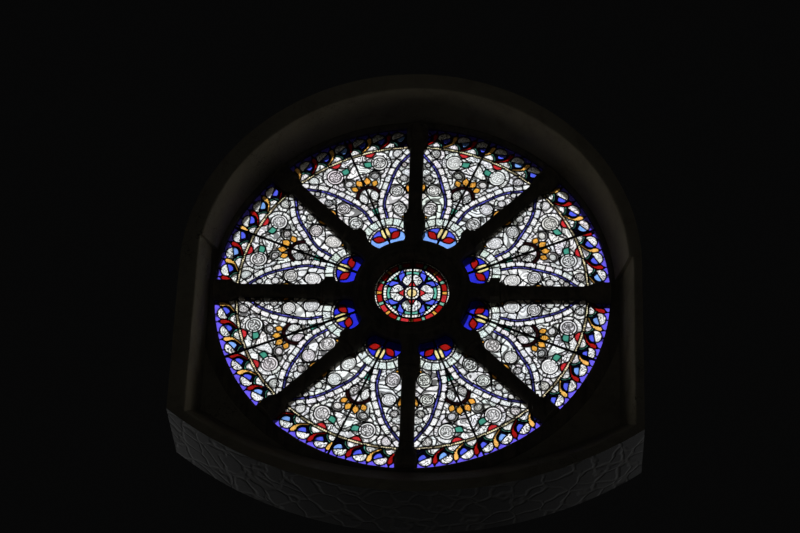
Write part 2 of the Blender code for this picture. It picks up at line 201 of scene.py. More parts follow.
def reveal_grid():
    """Rows of loops: back edge, cut side, front face, rounded arris, soffit and jambs, the shoulder
    that the rim bears on or the spandrel beside it, and the seat. The last row joins the first."""
    near = recess_loop(ARCH_NEAR, JAMBS_NEAR, LEDGES_NEAR, SILL_FRONT_Z)
    far = recess_loop(ARCH_FAR, JAMBS_FAR, LEDGES_FAR, SILL_BACK_Z)
    outer = outer_loop()
    reach = np.linalg.norm(far, axis=1)
    last = np.where(reach < RIM_R, RIM_FRONT - JOINT * 0.6, SPANDREL_Y)

    def recess(y, grow=0.0):
        t = (np.broadcast_to(y, reach.shape)[:, None] - REVEAL_FRONT) / (SPANDREL_Y - REVEAL_FRONT)
        loop = near + (far - near) * t
        return loop * (1 + grow / np.linalg.norm(loop, axis=1, keepdims=True))

    rows = [(outer, y) for y in np.linspace(0, REVEAL_FRONT, CUT_ROWS)]
    edge = recess(REVEAL_FRONT, ARRIS)
    rows += [(outer + (edge - outer) * t, REVEAL_FRONT) for t in (0.25, 0.5, 0.75, 1.0)]
    for turn in np.radians((22.5, 45, 67.5, 90)):
        y = REVEAL_FRONT + ARRIS * (1 - math.cos(turn))
        rows.append((recess(y, ARRIS * (1 - math.sin(turn))), y))
    start = REVEAL_FRONT + ARRIS
    for t in np.linspace(0, 1, 30)[1:]:
        y = start + (last - start) * t
        rows.append((recess(y), y))
    end = rows[-1][0]
    seat = (RIM_R + JOINT) * far / reach[:, None]
    rows += [(end + (seat - end) * t, last + JOINT * 0.5 * t) for t in (0.5, 1.0)]
    rows += [(seat, y) for y in (-0.2, -0.1, 0.0)]
    return np.array([np.column_stack([loop[:, 0], np.broadcast_to(y, reach.shape), loop[:, 1]])
                     for loop, y in rows])


def weathered(points, way, size, depth, seed):
    """The points moved along way by unevenness of two sizes, depth at most where way is 1."""
    flat = points.reshape(-1, 3)
    bumps = 0.75 * unevenness(flat, size, seed) + 0.35 * unevenness(flat, size / 4, seed + 1)
    return points + way * (depth * np.clip(bumps, -1, 1)).reshape(points.shape[:-1])[..., None]


class Nodes:
    """A node tree with short ways to add to it. Inputs are values or the sockets of other nodes, and
    every way but node returns the socket that comes out."""

    def __init__(self, tree):
        self.tree = tree

    def node(self, kind, inputs=(), **settings):
        """Adds a node, with its inputs as pairs of socket name or number and value or socket."""
        made = self.tree.nodes.new(kind)
        for name, value in settings.items():
            setattr(made, name, value)
        for socket, value in inputs:
            if isinstance(value, bpy.types.NodeSocket):
                self.tree.links.new(value, made.inputs[socket])
            else:
                made.inputs[socket].default_value = value
        return made

    def math(self, operation, *values, clamp=False):
        made = self.node("ShaderNodeMath", enumerate(values), operation=operation, use_clamp=clamp)
        return made.outputs[0]

    def vector(self, operation, *values):
        made = self.node("ShaderNodeVectorMath", enumerate(values), operation=operation)
        return made.outputs["Value" if operation == "LENGTH" else "Vector"]

    def ramp(self, factor, low, high):
        """0 where factor is low or less, 1 where it is high or more, and a straight slope between."""
        ends = [(1, low), (2, high), (3, 0.0), (4, 1.0)]
        return self.node("ShaderNodeMapRange", [(0, factor), *ends]).outputs[0]

    def near(self, value, middle, far, close):
        """1 where value is within close of middle, 0 where it is far from it or more."""
        return self.ramp(self.math("ABSOLUTE", self.math("SUBTRACT", value, middle)), far, close)

    def mixed(self, factor, first, second):
        return self.node("ShaderNodeMix", [(0, factor), (2, first), (3, second)]).outputs[0]

    def blend(self, factor, first, second, blend_type="MIX"):
        """Two colours mixed."""
        made = self.node("ShaderNodeMix", [(0, factor), (6, first), (7, second)],
                         data_type="RGBA", blend_type=blend_type)
        return made.outputs[2]


class Finish(Nodes):
    """A material with one Principled shader, its constants set on the shader's own sockets."""

    def __init__(self, name, **constants):
        self.material = bpy.data.materials.new(name)
        self.material.use_nodes = True
        super().__init__(self.material.node_tree)
        self.shader = self.tree.nodes["Principled BSDF"]
        for socket, value in constants.items():
            self.shader.inputs[socket.replace("_", " ")].default_value = value
        self.where = self.node("ShaderNodeTexCoord").outputs["Object"]

    def noise(self, scale, detail=4.0, roughness=0.55, distortion=0.0, at=None, output="Fac"):
        made = self.node("ShaderNodeTexNoise", [
            ("Vector", at or self.where), ("Scale", scale), ("Detail", detail), ("Roughness", roughness),
            ("Distortion", distortion)])
        return made.outputs[output]

    def scaled(self, scale, at=None):
        """The place on the object, stretched."""
        return self.node("ShaderNodeMapping", [("Vector", at or self.where), ("Scale", scale)]).outputs[0]

    def cells(self, scale, feature="F1", at=None):
        inputs = [("Vector", at or self.where), ("Scale", scale)]
        return self.node("ShaderNodeTexVoronoi", inputs, feature=feature).outputs

    def painted(self, colour, varied, swing, least):
        """Sets the base colour, and the roughness as least plus swing times a value that varies."""
        self.tree.links.new(colour, self.shader.inputs["Base Color"])
        self.tree.links.new(self.math("MULTIPLY_ADD", varied, swing, least), self.shader.inputs["Roughness"])

    def relief(self, *layers):
        """Bumps laid on one another: each a height between 0 and 1, its depth in metres, its strength."""
        for height, distance, strength in layers:
            inputs = [("Strength", strength), ("Distance", distance), ("Height", height)]
            bump = self.node("ShaderNodeBump", inputs)
            for before in self.shader.inputs["Normal"].links:
                self.tree.links.new(before.from_socket, bump.inputs["Normal"])
            self.tree.links.new(bump.outputs[0], self.shader.inputs["Normal"])


def rgb(red, green, blue):
    """A colour given as it is seen on a screen, turned into the light it stands for."""
    seen = np.array([red, green, blue])
    light = np.where(seen <= 0.04045, seen / 12.92, ((seen + 0.055) / 1.055) ** 2.4)
    return (*light.tolist(), 1.0)


def lime_plaster():
    """Trowelled plaster: broad warm and grey patches, damp stains, hair cracks, fine sand."""
    f = Finish("lime_plaster")
    broad = f.noise(1.1, 5.0, 0.6)
    patches = f.noise(5.5, 6.0, 0.65, 0.4)
    sand = f.noise(210.0, 3.0)
    trowel = f.noise(1.0, 4.0, 0.6, at=f.scaled((3.0, 9.0, 22.0)))
    colour = f.blend(f.ramp(broad, 0.35, 0.68), rgb(0.66, 0.62, 0.53), rgb(0.53, 0.51, 0.46))
    colour = f.blend(f.ramp(patches, 0.50, 0.70), colour, rgb(0.44, 0.41, 0.35))
    colour = f.blend(f.ramp(sand, 0.30, 0.80), colour, rgb(0.74, 0.71, 0.64))
    wander = f.noise(6.0, 2.0, 0.5, output="Color")
    edge = f.cells(1.7, "DISTANCE_TO_EDGE", f.vector("ADD", f.where, wander))["Distance"]
    crack = f.math("MULTIPLY", f.ramp(edge, 0.008, 0.0), f.ramp(broad, 0.50, 0.60))
    colour = f.blend(crack, colour, rgb(0.20, 0.18, 0.15))
    f.painted(colour, patches, 0.16, 0.80)
    f.relief((trowel, 0.006, 0.7), (sand, 0.0012, 0.5), (f.math("SUBTRACT", 1.0, crack), 0.002, 0.8))
    return f.material


def rubble():
    """The cut face of the wall: dark grey rubble of many sizes bedded in paler mortar."""
    f = Finish("rubble_masonry")
    wobble = f.node("ShaderNodeVectorMath", [(0, f.noise(3.0, 2.0, 0.5, output="Color")), ("Scale", 0.25)],
                    operation="SCALE").outputs[0]
    laid = f.scaled((5.0, 5.0, 8.0), f.vector("ADD", f.where, wobble))
    edge = f.cells(1.0, "DISTANCE_TO_EDGE", laid)["Distance"]
    tone = f.node("ShaderNodeSeparateColor", [(0, f.cells(1.0, at=laid)["Color"])]).outputs[0]
    grain = f.noise(60.0, 5.0, 0.6)
    colour = f.blend(tone, rgb(0.10, 0.096, 0.09), rgb(0.155, 0.145, 0.13))
    colour = f.blend(f.math("MULTIPLY", grain, 0.5), colour, rgb(0.085, 0.082, 0.078))
    colour = f.blend(f.ramp(edge, 0.07, 0.03), colour, rgb(0.175, 0.166, 0.15))
    f.painted(colour, grain, 0.2, 0.78)
    f.relief((f.ramp(edge, 0.02, 0.10), 0.008, 0.8), (grain, 0.003, 0.5))
    return f.material


reveal_points = reveal_grid()
reveal_rows, reveal_columns = reveal_points.shape[:2]
soffit = np.zeros(reveal_rows)  # only the plastered inside and its arris are uneven
soffit[CUT_ROWS + 5:CUT_ROWS + 35] = 1.0
inward = reveal_points * (1, 0, 1)
inward /= np.linalg.norm(inward, axis=2, keepdims=True)
reveal_points = weathered(reveal_points, inward * soffit[:, None, None], 0.5, 0.004, 11)
cut_off = np.zeros((reveal_rows, reveal_columns), dtype=int)
cut_off[:CUT_ROWS - 1] = 1
cut_off[-1] = 1
reveal = make_piece("plastered_reveal", *outward(
    reveal_points.reshape(-1, 3) + (0, 0, CENTRE_Z),
    [grid_faces(reveal_rows, reveal_columns, close_rows=True, close_columns=True)]),
    [lime_plaster(), rubble()], 40, cut_off.ravel())
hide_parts("reveal")
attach(reveal, "root")

# ---------------------------------------------------------------------------------------------
# The rim: a ring of dressed stone set into the wall. Its inner front edge is chamfered
# and the lights and spokes end against its inner face.

SIGHT_R = 1.58
OUTER_SPLAY = 0.045  # how much wider the rim is on the outer side
SPOKE_BACK = GLASS_Y + 0.08
RIM_CHAMFER = 0.02
RIM_SIDES = 288


def rounded_profile(corners, radius, steps=4):
    """A closed profile with each corner cut back by radius and replaced by a curve: the square blend
    of the corner with the two points where the curve starts and stops."""
    corners = np.asarray(corners, dtype=float)
    before, after = np.roll(corners, 1, axis=0), np.roll(corners, -1, axis=0)
    start = corners + radius * (before - corners) / np.linalg.norm(before - corners, axis=1, keepdims=True)
    stop = corners + radius * (after - corners) / np.linalg.norm(after - corners, axis=1, keepdims=True)
    t = np.linspace(0, 1, steps + 1)[:, None, None]
    curve = (1 - t) ** 2 * start + 2 * t * (1 - t) * corners + t**2 * stop
    return curve.transpose(1, 0, 2).reshape(-1, 2)


def densely(profile, step, closed=True):
    """The profile with extra points so that no stretch is longer than step."""
    ends = np.vstack([profile, profile[:1]]) if closed else profile
    pieces = []
    for a, b in zip(ends[:-1], ends[1:]):
        count = max(1, int(math.ceil(np.linalg.norm(b - a) / step)))
        pieces.append(a + (b - a) * np.linspace(0, 1, count, endpoint=False)[:, None])
    if not closed:
        pieces.append(ends[-1:])
    return np.vstack(pieces)


def turned_about_y(profile, sides):
    """A closed profile of (radius, y) carried round the wheel's axis: point (r sin a, y, r cos a)."""
    r, y = profile.T
    a = np.linspace(0, 2 * math.pi, sides, endpoint=False)[:, None]
    points = np.stack(np.broadcast_arrays(r * np.sin(a), y, r * np.cos(a)), -1)
    return points.reshape(-1, 3), [grid_faces(sides, len(r), close_rows=True, close_columns=True)]


def dressed_stone():
    """Worn limestone: grey-brown, sooty in patches and streaks, paler on worn edges, finely tooled."""
    f = Finish("dressed_stone")
    broad = f.noise(1.8, 5.0, 0.6)
    blotch = f.noise(11.0, 6.0, 0.62, 0.3)
    grain = f.noise(95.0, 4.0, 0.6)
    pits = f.cells(150.0)["Distance"]
    streak = f.noise(1.0, 4.0, 0.6, at=f.scaled((14.0, 14.0, 1.6)))
    worn = f.node("ShaderNodeNewGeometry").outputs["Pointiness"]
    colour = f.blend(f.ramp(broad, 0.36, 0.66), rgb(0.56, 0.52, 0.45), rgb(0.44, 0.42, 0.38))
    colour = f.blend(f.ramp(blotch, 0.46, 0.72), colour, rgb(0.62, 0.58, 0.50))
    for varied, low, high, share, over in (
            (streak, 0.50, 0.72, 0.75, rgb(0.22, 0.21, 0.19)),
            (grain, 0.52, 0.75, 0.45, rgb(0.30, 0.28, 0.25)),
            (worn, 0.51, 0.58, 0.6, rgb(0.70, 0.66, 0.57))):
        colour = f.blend(f.math("MULTIPLY", f.ramp(varied, low, high), share), colour, over)
    f.painted(colour, blotch, 0.18, 0.76)
    f.relief((grain, 0.0022, 0.6), (f.ramp(pits, 0.0, 0.35), 0.0012, 0.45), (blotch, 0.006, 0.4))
    return f.material


stone_finish = dressed_stone()
rim_section = rounded_profile(
    [(SIGHT_R + RIM_CHAMFER, RIM_FRONT), (RIM_R, RIM_FRONT), (RIM_R, 0.0), (SIGHT_R + OUTER_SPLAY, 0.0),
     (SIGHT_R, SPOKE_BACK), (SIGHT_R, RIM_FRONT + RIM_CHAMFER)], 0.004)
rim_points, rim_faces = turned_about_y(densely(rim_section, 0.03), RIM_SIDES)
rim_reach = np.linalg.norm(rim_points * (1, 0, 1), axis=1, keepdims=True)
rim_out = rim_points * (1, 0, 1) / rim_reach
rim_points = weathered(rim_points, rim_out * (rim_reach < RIM_R - 0.01), 0.12, 0.0015, 21)
rim = make_piece("rim_stone", *outward(rim_points + (0, 0, CENTRE_Z), rim_faces), [stone_finish], 30)
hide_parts("rim")
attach(rim, "root")

# ---------------------------------------------------------------------------------------------
# The hub: one thick block of the same stone. A moulded ring runs round the roundel, and eight arms
# between the round ends of the lights carry the spokes. Both are splayed towards the room.

CORE_R = 0.47
HUB_END = 0.62
FOIL_AT = 0.581  # centre of the round end of each light
FOIL_R = 0.161
EYE_R = 0.305
HUB_FRONT = GLASS_Y - 0.10
HUB_BACK = GLASS_Y + 0.135
SPLAY = 0.045
ROLL_R = 0.372  # the roll round the roundel, and half its width
ROLL_HALF = 0.020
HOLLOW_R = 0.345  # where the hollow splay down to the roundel starts
HUB_SIDES = 240
SECTOR = math.radians(45)


def hub_ring():
    """The ring's profile, from the splay outside, over the roll, to the splay round the roundel."""
    turn = np.radians(np.linspace(0, 180, 25))
    roll = np.stack([ROLL_R + ROLL_HALF * np.cos(turn), HUB_FRONT - 0.016 * np.sin(turn)], -1)
    turn = np.radians(np.linspace(0, 90, 10))
    hollow = np.stack([HOLLOW_R - (HOLLOW_R - EYE_R) * np.sin(turn),
                       HUB_FRONT + 0.004 + (SPLAY - 0.004) * (1 - np.cos(turn))], -1)
    outside = [(CORE_R, HUB_FRONT + SPLAY), (CORE_R - 0.041, HUB_FRONT - 0.004), (0.398, HUB_FRONT - 0.004),
               (0.393, HUB_FRONT + 0.002)]
    back = [(EYE_R, HUB_BACK + 0.002), (CORE_R, HUB_BACK + 0.002)]
    profile = np.vstack([outside, roll[1:-1], [(0.351, HUB_FRONT + 0.002)], hollow, back])
    return turned_about_y(densely(profile, 0.012), HUB_SIDES)


def section_tube(points):
    """A closed tube through a (rows, columns, 3) grid of sections, with flat ends."""
    rows, columns = points.shape[:2]
    ends = np.stack([np.arange(columns), (rows - 1) * columns + np.arange(columns)[::-1]])
    return points.reshape(-1, 3), [grid_faces(rows, columns, close_columns=True), ends]


def along_z(sections, s):
    """A (rows, columns, 2) grid of sections in x and y, each row set at its distance s along +Z."""
    return np.concatenate([sections, np.broadcast_to(s[:, None, None], (*sections.shape[:2], 1))], axis=-1)


def turned_by(points, turn):
    """The points turned clockwise by turn about the wheel's axis, seen from the room."""
    x, y, z = points[..., 0], points[..., 1], points[..., 2]
    return np.stack([x * math.cos(turn) + z * math.sin(turn), y, z * math.cos(turn) - x * math.sin(turn)], -1)


def hub_arm():
    """One arm along +Z: at distance s it reaches to the foil circle each side, and its front falls
    back by the splay as it nears the circle."""
    s = np.linspace(0.40, HUB_END, 45)
    centre_x, centre_s = FOIL_AT * math.sin(SECTOR / 2), FOIL_AT * math.cos(SECTOR / 2)
    half = centre_x - np.sqrt(FOIL_R**2 - (s - centre_s) ** 2)
    spread = np.sin(np.linspace(-math.pi / 2, math.pi / 2, 41))
    x = half[:, None] * spread
    away = np.hypot(centre_x - np.abs(x), s[:, None] - centre_s) - FOIL_R
    y = HUB_FRONT + SPLAY - np.clip(away, 0, SPLAY)
    depth = np.linspace(0, 1, 8)[1:]
    right_y = y[:, -1:] + (HUB_BACK - y[:, -1:]) * depth
    right = np.stack([np.broadcast_to(half[:, None], right_y.shape), right_y], -1)
    return along_z(np.concatenate([np.stack([x, y], -1), right, right[:, ::-1] * (-1, 1)], axis=1), s)


def joined(parts):
    """Several closed shells, each turned outwards, as one array of points and one list of faces."""
    parts = [outward(*part) for part in parts]
    points = np.vstack([part[0] for part in parts])
    shifts = np.cumsum([0] + [len(part[0]) for part in parts[:-1]])
    faces = [array + shift for part, shift in zip(parts, shifts) for array in part[1]]
    return points, faces


hub_arms = [section_tube(turned_by(hub_arm(), arm * SECTOR)) for arm in range(8)]
hub_points, hub_faces = joined([hub_ring(), *hub_arms])
hub = make_piece("hub_stone", hub_points + (0, 0, CENTRE_Z), hub_faces, [stone_finish], 28)
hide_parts("hub")
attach(hub, "root")

# ---------------------------------------------------------------------------------------------
# The spokes: eight little columns of stone laid like a wheel's. Each has a square plinth, a base of
# torus and roll, a round shaft, a neck ring, a bell and a round abacus, and a flat bar behind that
# the glass's edge runs into.

BAR_FRONT = GLASS_Y - 0.03
SHAFT_Y = GLASS_Y - 0.018  # the shaft's axis
PLINTH_HALF = 0.0875
PLINTH_END = 0.70
BASE_END = 0.775
SHAFT_R = 0.055
NECK_AT = 1.365
BELL_END = 1.45
ABACUS_R = 0.088
QUIRK = 0.004
BLOCK_BACK = GLASS_Y + 0.03
SHAFT_SIDES = 40


def half_width(s):
    """Half the width of the flat bar behind a spoke, at distance s from the wheel's centre."""
    def ease(x):
        return 0.5 - 0.5 * np.cos(np.pi * np.clip(x, 0, 1))
    foot = PLINTH_HALF + (SHAFT_R - PLINTH_HALF) * ease((s - PLINTH_END) / (BASE_END - PLINTH_END))
    return foot + (ABACUS_R - SHAFT_R) * ease((s - NECK_AT) / (BELL_END - NECK_AT)) - QUIRK


def curve_between(start, stop, bulge, steps):
    """A profile from start to stop (radius, s) that swells by bulge: half a sine wave on the chord."""
    t = np.linspace(0, 1, steps)
    return np.stack([start[0] + (stop[0] - start[0]) * t + bulge * np.sin(np.pi * t),
                     start[1] + (stop[1] - start[1]) * t], -1)


def spoke_column():
    """The turned part along +Z: radius by distance, carried round the shaft's axis."""
    torus = curve_between((PLINTH_HALF - 0.013, 0.700), (PLINTH_HALF - 0.015, 0.731), 0.011, 13)
    roll = curve_between((0.060, 0.752), (0.060, 0.770), 0.007, 11)
    scotia = curve_between((0.064, 0.734), (0.059, 0.750), -0.005, 9)
    shaft = curve_between((SHAFT_R + 0.002, BASE_END), (SHAFT_R - 0.0005, NECK_AT - 0.004), -0.001, 60)
    ring = curve_between((SHAFT_R + 0.001, NECK_AT), (SHAFT_R + 0.001, NECK_AT + 0.018), 0.0085, 11)
    t = np.linspace(0, 1, 22)
    bell = np.stack([SHAFT_R + 0.002 + (ABACUS_R - 0.004 - SHAFT_R) * t**2.2,
                     NECK_AT + 0.022 + (BELL_END - NECK_AT - 0.024) * t], -1)
    foot = [(PLINTH_HALF - 0.015, PLINTH_END - 0.012)]
    abacus = [(ABACUS_R - 0.003, BELL_END), (ABACUS_R, BELL_END + 0.003), (ABACUS_R, BELL_END + 0.022),
              (ABACUS_R - 0.004, BELL_END + 0.026), (ABACUS_R - 0.004, BELL_END + 0.030),
              (ABACUS_R, BELL_END + 0.034), (ABACUS_R, SIGHT_R + 0.03)]
    abacus = densely(np.array(abacus), 0.012, closed=False)
    profile = np.vstack([foot, torus, scotia, roll, shaft, ring, bell, abacus])
    turn = np.linspace(0, 2 * math.pi, SHAFT_SIDES, endpoint=False)
    r = profile[:, :1]
    return section_tube(along_z(np.stack([r * np.cos(turn), SHAFT_Y + r * np.sin(turn)], -1), profile[:, 1]))


def rounded_block(half, front, back, start, stop, edge):
    """A dressed block along +Z: a rectangle with rounded corners, drawn in by edge at both ends."""
    corners = [(-half, front), (half, front), (half, back), (-half, back)]
    section = densely(rounded_profile(corners, edge), 0.012)
    middle = np.array([0.0, (front + back) / 2])
    turn = np.linspace(0, math.pi / 2, 5)
    lows = start + edge * (1 - np.cos(turn))
    highs = stop - edge * (1 - np.cos(turn[::-1]))
    draw = np.concatenate([edge * (1 - np.sin(turn)), np.zeros(6), edge * (1 - np.sin(turn[::-1]))])
    s = np.concatenate([lows, np.linspace(lows[-1], highs[0], 8)[1:-1], highs])
    shrink = 1 - draw[:, None] / np.array([half, (back - front) / 2])
    return section_tube(along_z(middle + (section - middle)[None] * shrink[:, None], s))


def flat_bar():
    """The bar behind, with its outline from half_width and small arrises."""
    s = np.linspace(HUB_END + JOINT, SIGHT_R + 0.02, 120)
    half = half_width(s)[:, None]
    across = np.array([-1, -1, -0.97, 0.97, 1, 1, 0.97, -0.97])
    edge = 0.003
    depth = np.array([SPOKE_BACK - edge, BAR_FRONT + edge, BAR_FRONT, BAR_FRONT,
                      BAR_FRONT + edge, SPOKE_BACK - edge, SPOKE_BACK, SPOKE_BACK])
    return section_tube(along_z(np.stack(np.broadcast_arrays(half * across, depth), -1), s))


def ended_at_rim(points, faces):
    """The shell with what lies past the rim's inner face drawn back on to it."""
    limit = np.sqrt((SIGHT_R - JOINT) ** 2 - points[:, 0] ** 2)
    return np.column_stack([points[:, :2], np.minimum(points[:, 2], limit)]), faces


plinth = rounded_block(
    PLINTH_HALF, SHAFT_Y - PLINTH_HALF, BLOCK_BACK, HUB_END + JOINT, PLINTH_END - 0.002, 0.007)
spoke_points, spoke_faces = joined([ended_at_rim(*shell) for shell in (flat_bar(), spoke_column(), plinth)])
for number in range(1, 9):
    wear = unevenness(spoke_points, 0.16, 40 + number)[:, None] * 0.0008
    out = (spoke_points - (0, SHAFT_Y, 0)) * (1, 1, 0)
    worn_in = out / np.maximum(np.linalg.norm(out, axis=1, keepdims=True), 1e-6) * np.abs(wear)
    points = turned_by(spoke_points - worn_in, (number - 1) * SECTOR) + (0, 0, CENTRE_Z)
    spoke = make_piece(f"spoke_{number}_stone", points, spoke_faces, [stone_finish], 30)
    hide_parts(f"spoke_{number}")
    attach(spoke, "root")

# ---------------------------------------------------------------------------------------------
# The saddle bars: round wrought-iron rods let into the stone on the room side of the glass, one up
# the middle of each light and one across the roundel.


def wrought_iron():
    """Forged iron: near-black scale with brown rust that has come through in patches."""
    f = Finish("wrought_iron", Metallic=0.55)
    rust = f.noise(22.0, 6.0, 0.7)
    pits = f.noise(260.0, 3.0)
    colour = f.blend(f.ramp(rust, 0.48, 0.66), rgb(0.16, 0.15, 0.145), rgb(0.33, 0.19, 0.12))
    f.painted(f.blend(f.ramp(pits, 0.4, 0.8), colour, rgb(0.10, 0.09, 0.085)), rust, 0.4, 0.38)
    f.relief((pits, 0.0008, 0.6))
    return f.material


iron_finish = wrought_iron()
for bar in [f"bar_{number}" for number in range(1, 9)] + ["roundel_bar"]:
    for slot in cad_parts[bar].material_slots:
        slot.material = iron_finish

# ---------------------------------------------------------------------------------------------
# The lights: coloured and painted glass, cut to a drawn pattern and held in strips of lead. The
# pattern is drawn once with its axis upright, in units of the radius of the beaded line.

UNIT = 1.40
STEP = 0.009  # spacing of points along a lead line


def run_of(path):
    """How far along the path each of its points lies."""
    return np.concatenate([[0], np.cumsum(np.linalg.norm(np.diff(path, axis=0), axis=1))])


def spaced(path):
    """The same path with its points spread evenly, STEP apart or less."""
    path = np.asarray(path, dtype=float)
    lengths = run_of(path)
    count = max(2, int(math.ceil(lengths[-1] / STEP)) + 1)
    at = np.linspace(0, lengths[-1], count)
    return np.stack([np.interp(at, lengths, path[:, 0]), np.interp(at, lengths, path[:, 1])], -1)


def through(*points):
    """A smooth curve through the points: between two of them, a cubic whose end slopes are half the
    chord between each point's neighbours (Catmull and Rom's rule)."""
    p = np.asarray(points, dtype=float)
    p = np.vstack([2 * p[0] - p[1], p, 2 * p[-1] - p[-2]])
    t = np.linspace(0, 1, 13)[:-1, None]
    pieces = []
    for a, b, c, d in zip(p[:-3], p[1:-2], p[2:-1], p[3:]):
        pieces.append(0.5 * (2 * b + (c - a) * t + (2 * a - 5 * b + 4 * c - d) * t**2
                             + (3 * b - a - 3 * c + d) * t**3))
    return spaced(np.vstack([*pieces, p[-2:-1]]))


def arc(centre, radius, start, stop):
    """Part of a circle, from start to stop in degrees clockwise from straight up."""
    return spaced(centre + polar(radius, np.radians(np.linspace(start, stop, 90))))


def oval(centre, half_width, half_height, tilt=0.0):
    """A closed ellipse, turned clockwise by tilt degrees."""
    turn = np.linspace(0, 2 * math.pi, 60) + 0.4  # off the axis, where another line may cross
    return spaced(turned_flat((half_width, half_height) * polar(1.0, turn), math.radians(tilt), centre))


def leaf_shape(foot, tip, fullness):
    """A closed leaf from foot to tip: two curves whose bulge, a share of its length, is fullest past
    the middle."""
    foot, tip = np.array(foot), np.array(tip)
    along = tip - foot
    beside = np.array([along[1], -along[0]]) * fullness
    left, right = (through(foot, foot + 0.30 * along + 0.75 * bulge, foot + 0.62 * along + bulge, tip)
                   for bulge in (-beside, beside))
    return spaced(np.vstack([left, right[-2::-1]]))


def parallel(path, offset):
    """The path moved sideways: each point goes offset along the normal on the right of travel."""
    along = np.gradient(path, axis=0)
    along /= np.linalg.norm(along, axis=1, keepdims=True)
    return path + offset * np.stack([along[:, 1], -along[:, 0]], -1)


def ladder(path, near, far, spacing, first):
    """Short lines across a strip beside the path, one each spacing along it."""
    lengths = run_of(path)
    one, other = parallel(path, near), parallel(path, far)
    rungs = np.searchsorted(lengths, np.arange(first, lengths[-1], spacing))
    return [spaced([one[i], other[i]]) for i in rungs]


def mirrored(lines):
    """The lines and their mirror images in the light's axis."""
    return [path for line in lines for path in (line, line * (-1, 1))]


def in_border(x, y, turn):
    """A place in the border: x along it and y outwards from the beaded line, at turn radians."""
    return polar(1.0 + y, turn + x / BORDER_AT)


STRAP = through((0.0225, 0.530), (0.046, 0.634), (0.111, 0.736), (0.203, 0.842), (0.33, 0.92), (0.42, 0.965))
STRAP_IN, STRAP_MID, STRAP_OUT = -0.018, 0.016, 0.031
ARCH_AT = (0.0, 0.36)  # centre of the ring of blocks at a light's inner end
BLOCKS = (0.108, 0.124, 0.172)
BEADS = (0.992, 1.009)
BORDER_AT = 1.06  # where lengths along the border are true
BORDER_TOP = 1.088  # from here out, what lies between the discs is violet
UNIT_TURN = math.radians(6.2)


